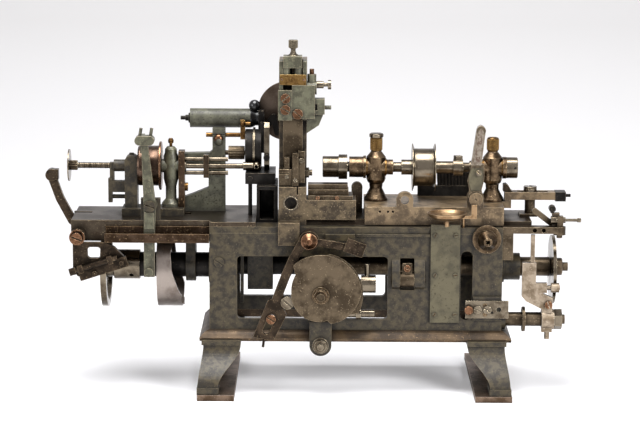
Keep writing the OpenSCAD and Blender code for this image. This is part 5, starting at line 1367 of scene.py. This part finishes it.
@dataclass(frozen=True)
class SoftBox:
    """A square soft lamp.

    Attributes:
        name: its name.
        place: where it hangs, in millimetres.
        aim: the point that it faces.
        side: length of its side.
        power: its power in watts.
    """

    name: str
    place: Point
    aim: Point
    side: float
    power: float

    def hang(self) -> None:
        """Adds the lamp to the scene."""
        data = bpy.data.lights.new(self.name, "AREA")
        data.shape = "SQUARE"
        data.size = self.side * MM
        data.energy = self.power
        lamp = bpy.data.objects.new(self.name, data)
        bpy.context.collection.objects.link(lamp)
        lamp.location = Vector(self.place) * MM
        toward = (Vector(self.aim) - Vector(self.place)) * MM
        lamp.rotation_euler = toward.to_track_quat("-Z", "Y").to_euler()


# One box above, a strong one at the right front and a weak one at the left
SOFT_BOXES = (
    SoftBox("top_box", (-100, -250, 1500), (0, 0, 150), 900, 34.0),
    SoftBox("right_box", (1300, -1500, 1000), (0, 0, 180), 700, 46.0),
    SoftBox("left_box", (-1500, -1100, 700), (0, 0, 180), 700, 12.0),
)


@dataclass(frozen=True)
class Studio:
    """Floor, lamps, world and camera.

    Attributes:
        distance_mm: from the camera to the point it looks at.
        target_mm: the point that the middle of the picture shows.
        elevation_deg: how far the camera looks down.
        roll_deg: tilt of the picture, right side down.
        focal_mm: focal length of the lens.
        sensor_mm: width of the sensor.
        sight_m: how far the camera sees.
        floor_mm: half width of the floor.
        cove_mm: radius of the bend between floor and backdrop.
        cove_start_mm: where the floor starts to bend up.
        grade_mm: height at which the paper has reached its darker upper tint, the painted shade.
        paper_and_shade_tints: tint of the paper on the floor, and a darker tint above the bend that paints
            shade up the backdrop.
        paper_glow: colour and strength of the paper's own light.
        room: colour and strength of the light from all round.
        white: colour and strength of the world where it is seen.
    """

    distance_mm: float = 3000.0
    target_mm: Point = (8.0, 0.0, 213.3)
    elevation_deg: float = 10.0
    roll_deg: float = 0.35
    focal_mm: float = 135.0
    sensor_mm: float = 36.0
    sight_m: float = 50.0
    floor_mm: float = 4000.0
    cove_mm: float = 900.0
    cove_start_mm: float = 900.0
    grade_mm: float = 300.0
    paper_and_shade_tints: tuple[str, str] = ("#e0e0e3", "#c1c0c1")
    paper_glow: tuple[str, float] = ("#f3f2f4", 0.25)
    room: tuple[str, float] = ("#f4f1ec", 0.26)
    white: tuple[str, float] = ("#f0eff3", 0.9)

    def build(self) -> None:
        """Builds the whole studio."""
        self._camera()
        self._floor()
        self._world()
        for box in SOFT_BOXES:
            box.hang()
        LOG.info("studio ready")

    def _camera(self) -> None:
        """Places the camera where the photograph was taken from."""
        target = Vector(self.target_mm) * MM
        tilt = math.radians(self.elevation_deg)
        back = Vector((0, -math.cos(tilt), math.sin(tilt)))
        data = bpy.data.cameras.new("camera")
        data.lens = self.focal_mm
        data.sensor_width = self.sensor_mm
        data.clip_end = self.sight_m
        camera = bpy.data.objects.new("camera", data)
        bpy.context.collection.objects.link(camera)
        camera.location = target + back * self.distance_mm * MM
        level = (-back).to_track_quat("-Z", "Y").to_matrix()
        turned = Matrix.Rotation(math.radians(self.roll_deg), 3, back) @ level
        camera.rotation_euler = turned.to_euler()
        bpy.context.scene.camera = camera

    def _floor(self) -> None:
        """Makes the pale floor, which bends up into the backdrop behind the machine."""
        steps = 16
        bends = [math.radians(90 * i / steps) for i in range(steps + 1)]
        start, radius = self.cove_start_mm, self.cove_mm
        profile = [(-self.floor_mm, 0.0)]
        profile += [(start + radius * math.sin(a), radius * (1 - math.cos(a))) for a in bends]
        profile.append((start + radius, self.floor_mm))
        mesh = bpy.data.meshes.new("floor")
        points = [(x * MM, y * MM, z * MM) for y, z in profile for x in (-self.floor_mm, self.floor_mm)]
        faces = [(2 * i, 2 * i + 1, 2 * i + 3, 2 * i + 2) for i in range(len(profile) - 1)]
        mesh.from_pydata(points, [], faces)
        mesh.shade_smooth()
        floor = bpy.data.objects.new("floor", mesh)
        bpy.context.collection.objects.link(floor)
        mesh.materials.append(self._paper())

    def _paper(self) -> bpy.types.Material:
        """Makes the backdrop paper: matt white that keeps shadows, painted darker upwards as shade, and clear
        where its back is seen.

        Returns:
            The paper's material.
        """
        material = bpy.data.materials.new("backdrop_paper")
        material.use_nodes = True
        tree = material.node_tree
        tree.nodes.clear()
        place = add_node(tree, "ShaderNodeTexCoord").outputs["Object"]
        # Painted shade: the paper's colour darkens with height, standing in for light falling off up the
        # backdrop
        height = add_node(tree, "ShaderNodeSeparateXYZ", inputs={0: place}).outputs["Z"]
        limits = {0: height, 1: 0.0, 2: self.grade_mm * MM}
        up = add_node(tree, "ShaderNodeMapRange", inputs=limits).outputs[0]
        low, high = (linear(tint) for tint in self.paper_and_shade_tints)
        sets = {Mix.FACTOR.value: up, Mix.FIRST.value: low, Mix.SECOND.value: high}
        tint = add_node(tree, "ShaderNodeMix", {"data_type": "RGBA"}, sets).outputs[Mix.RESULT.value]
        matt = add_node(tree, "ShaderNodeBsdfDiffuse", inputs={"Color": tint}).outputs[0]
        colour, strength = self.paper_glow
        light = {"Color": linear(colour), "Strength": strength}
        glow = add_node(tree, "ShaderNodeEmission", inputs=light).outputs[0]
        lit = add_node(tree, "ShaderNodeAddShader", inputs={0: matt, 1: glow}).outputs[0]
        seen = self._seen(tree)
        front = add_node(tree, "ShaderNodeMixShader", inputs={0: seen, 1: matt, 2: lit}).outputs[0]
        behind = add_node(tree, "ShaderNodeNewGeometry").outputs["Backfacing"]
        clear = add_node(tree, "ShaderNodeBsdfTransparent").outputs[0]
        shader = add_node(tree, "ShaderNodeMixShader", inputs={0: behind, 1: front, 2: clear}).outputs[0]
        add_node(tree, "ShaderNodeOutputMaterial", inputs={"Surface": shader})
        return material

    def _seen(self, tree: bpy.types.NodeTree) -> bpy.types.NodeSocket:
        """Adds a mask of the rays that show the background.

        Args:
            tree: the tree that needs the mask.

        Returns:
            One for camera, glossy and transmission rays.
        """
        path = add_node(tree, "ShaderNodeLightPath").outputs
        seen = path["Is Camera Ray"]
        for ray in ("Is Glossy Ray", "Is Transmission Ray"):
            seen = add_node(
                tree, "ShaderNodeMath", {"operation": "MAXIMUM"}, {0: seen, 1: path[ray]}
            ).outputs[0]
        return seen

    def _world(self) -> None:
        """Makes a soft grey world that shows white in the picture."""
        world = bpy.data.worlds.new("studio")
        bpy.context.scene.world = world
        world.use_nodes = True
        tree = world.node_tree
        tree.nodes.clear()
        seen = self._seen(tree)
        lights = ({"Color": linear(colour), "Strength": power} for colour, power in (self.room, self.white))
        dim, white = (add_node(tree, "ShaderNodeBackground", inputs=light).outputs[0] for light in lights)
        shown = add_node(tree, "ShaderNodeMixShader", inputs={0: seen, 1: dim, 2: white}).outputs[0]
        add_node(tree, "ShaderNodeOutputWorld", inputs={"Surface": shown})


def main(frame: dict) -> None:
    """Dresses the machine.
    """
    logging.basicConfig(level=logging.INFO, format="%(message)s")
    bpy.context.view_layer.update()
    bpy.context.scene.view_settings.view_transform = "Standard"
    Studio().build()
    finishes = Finishes()
    finishes.dress(frame["nodes"])
    bench = Bench(finishes)
    fittings = (ToolHead(), ThreadingHead(), Headstock(), GuideGroup(), PlinthFillet(), RightEnd())
    for group in (*SCREWS, *fittings):
        group.fit(bench)


if __name__ == "__main__":
    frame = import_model()
    main(frame)
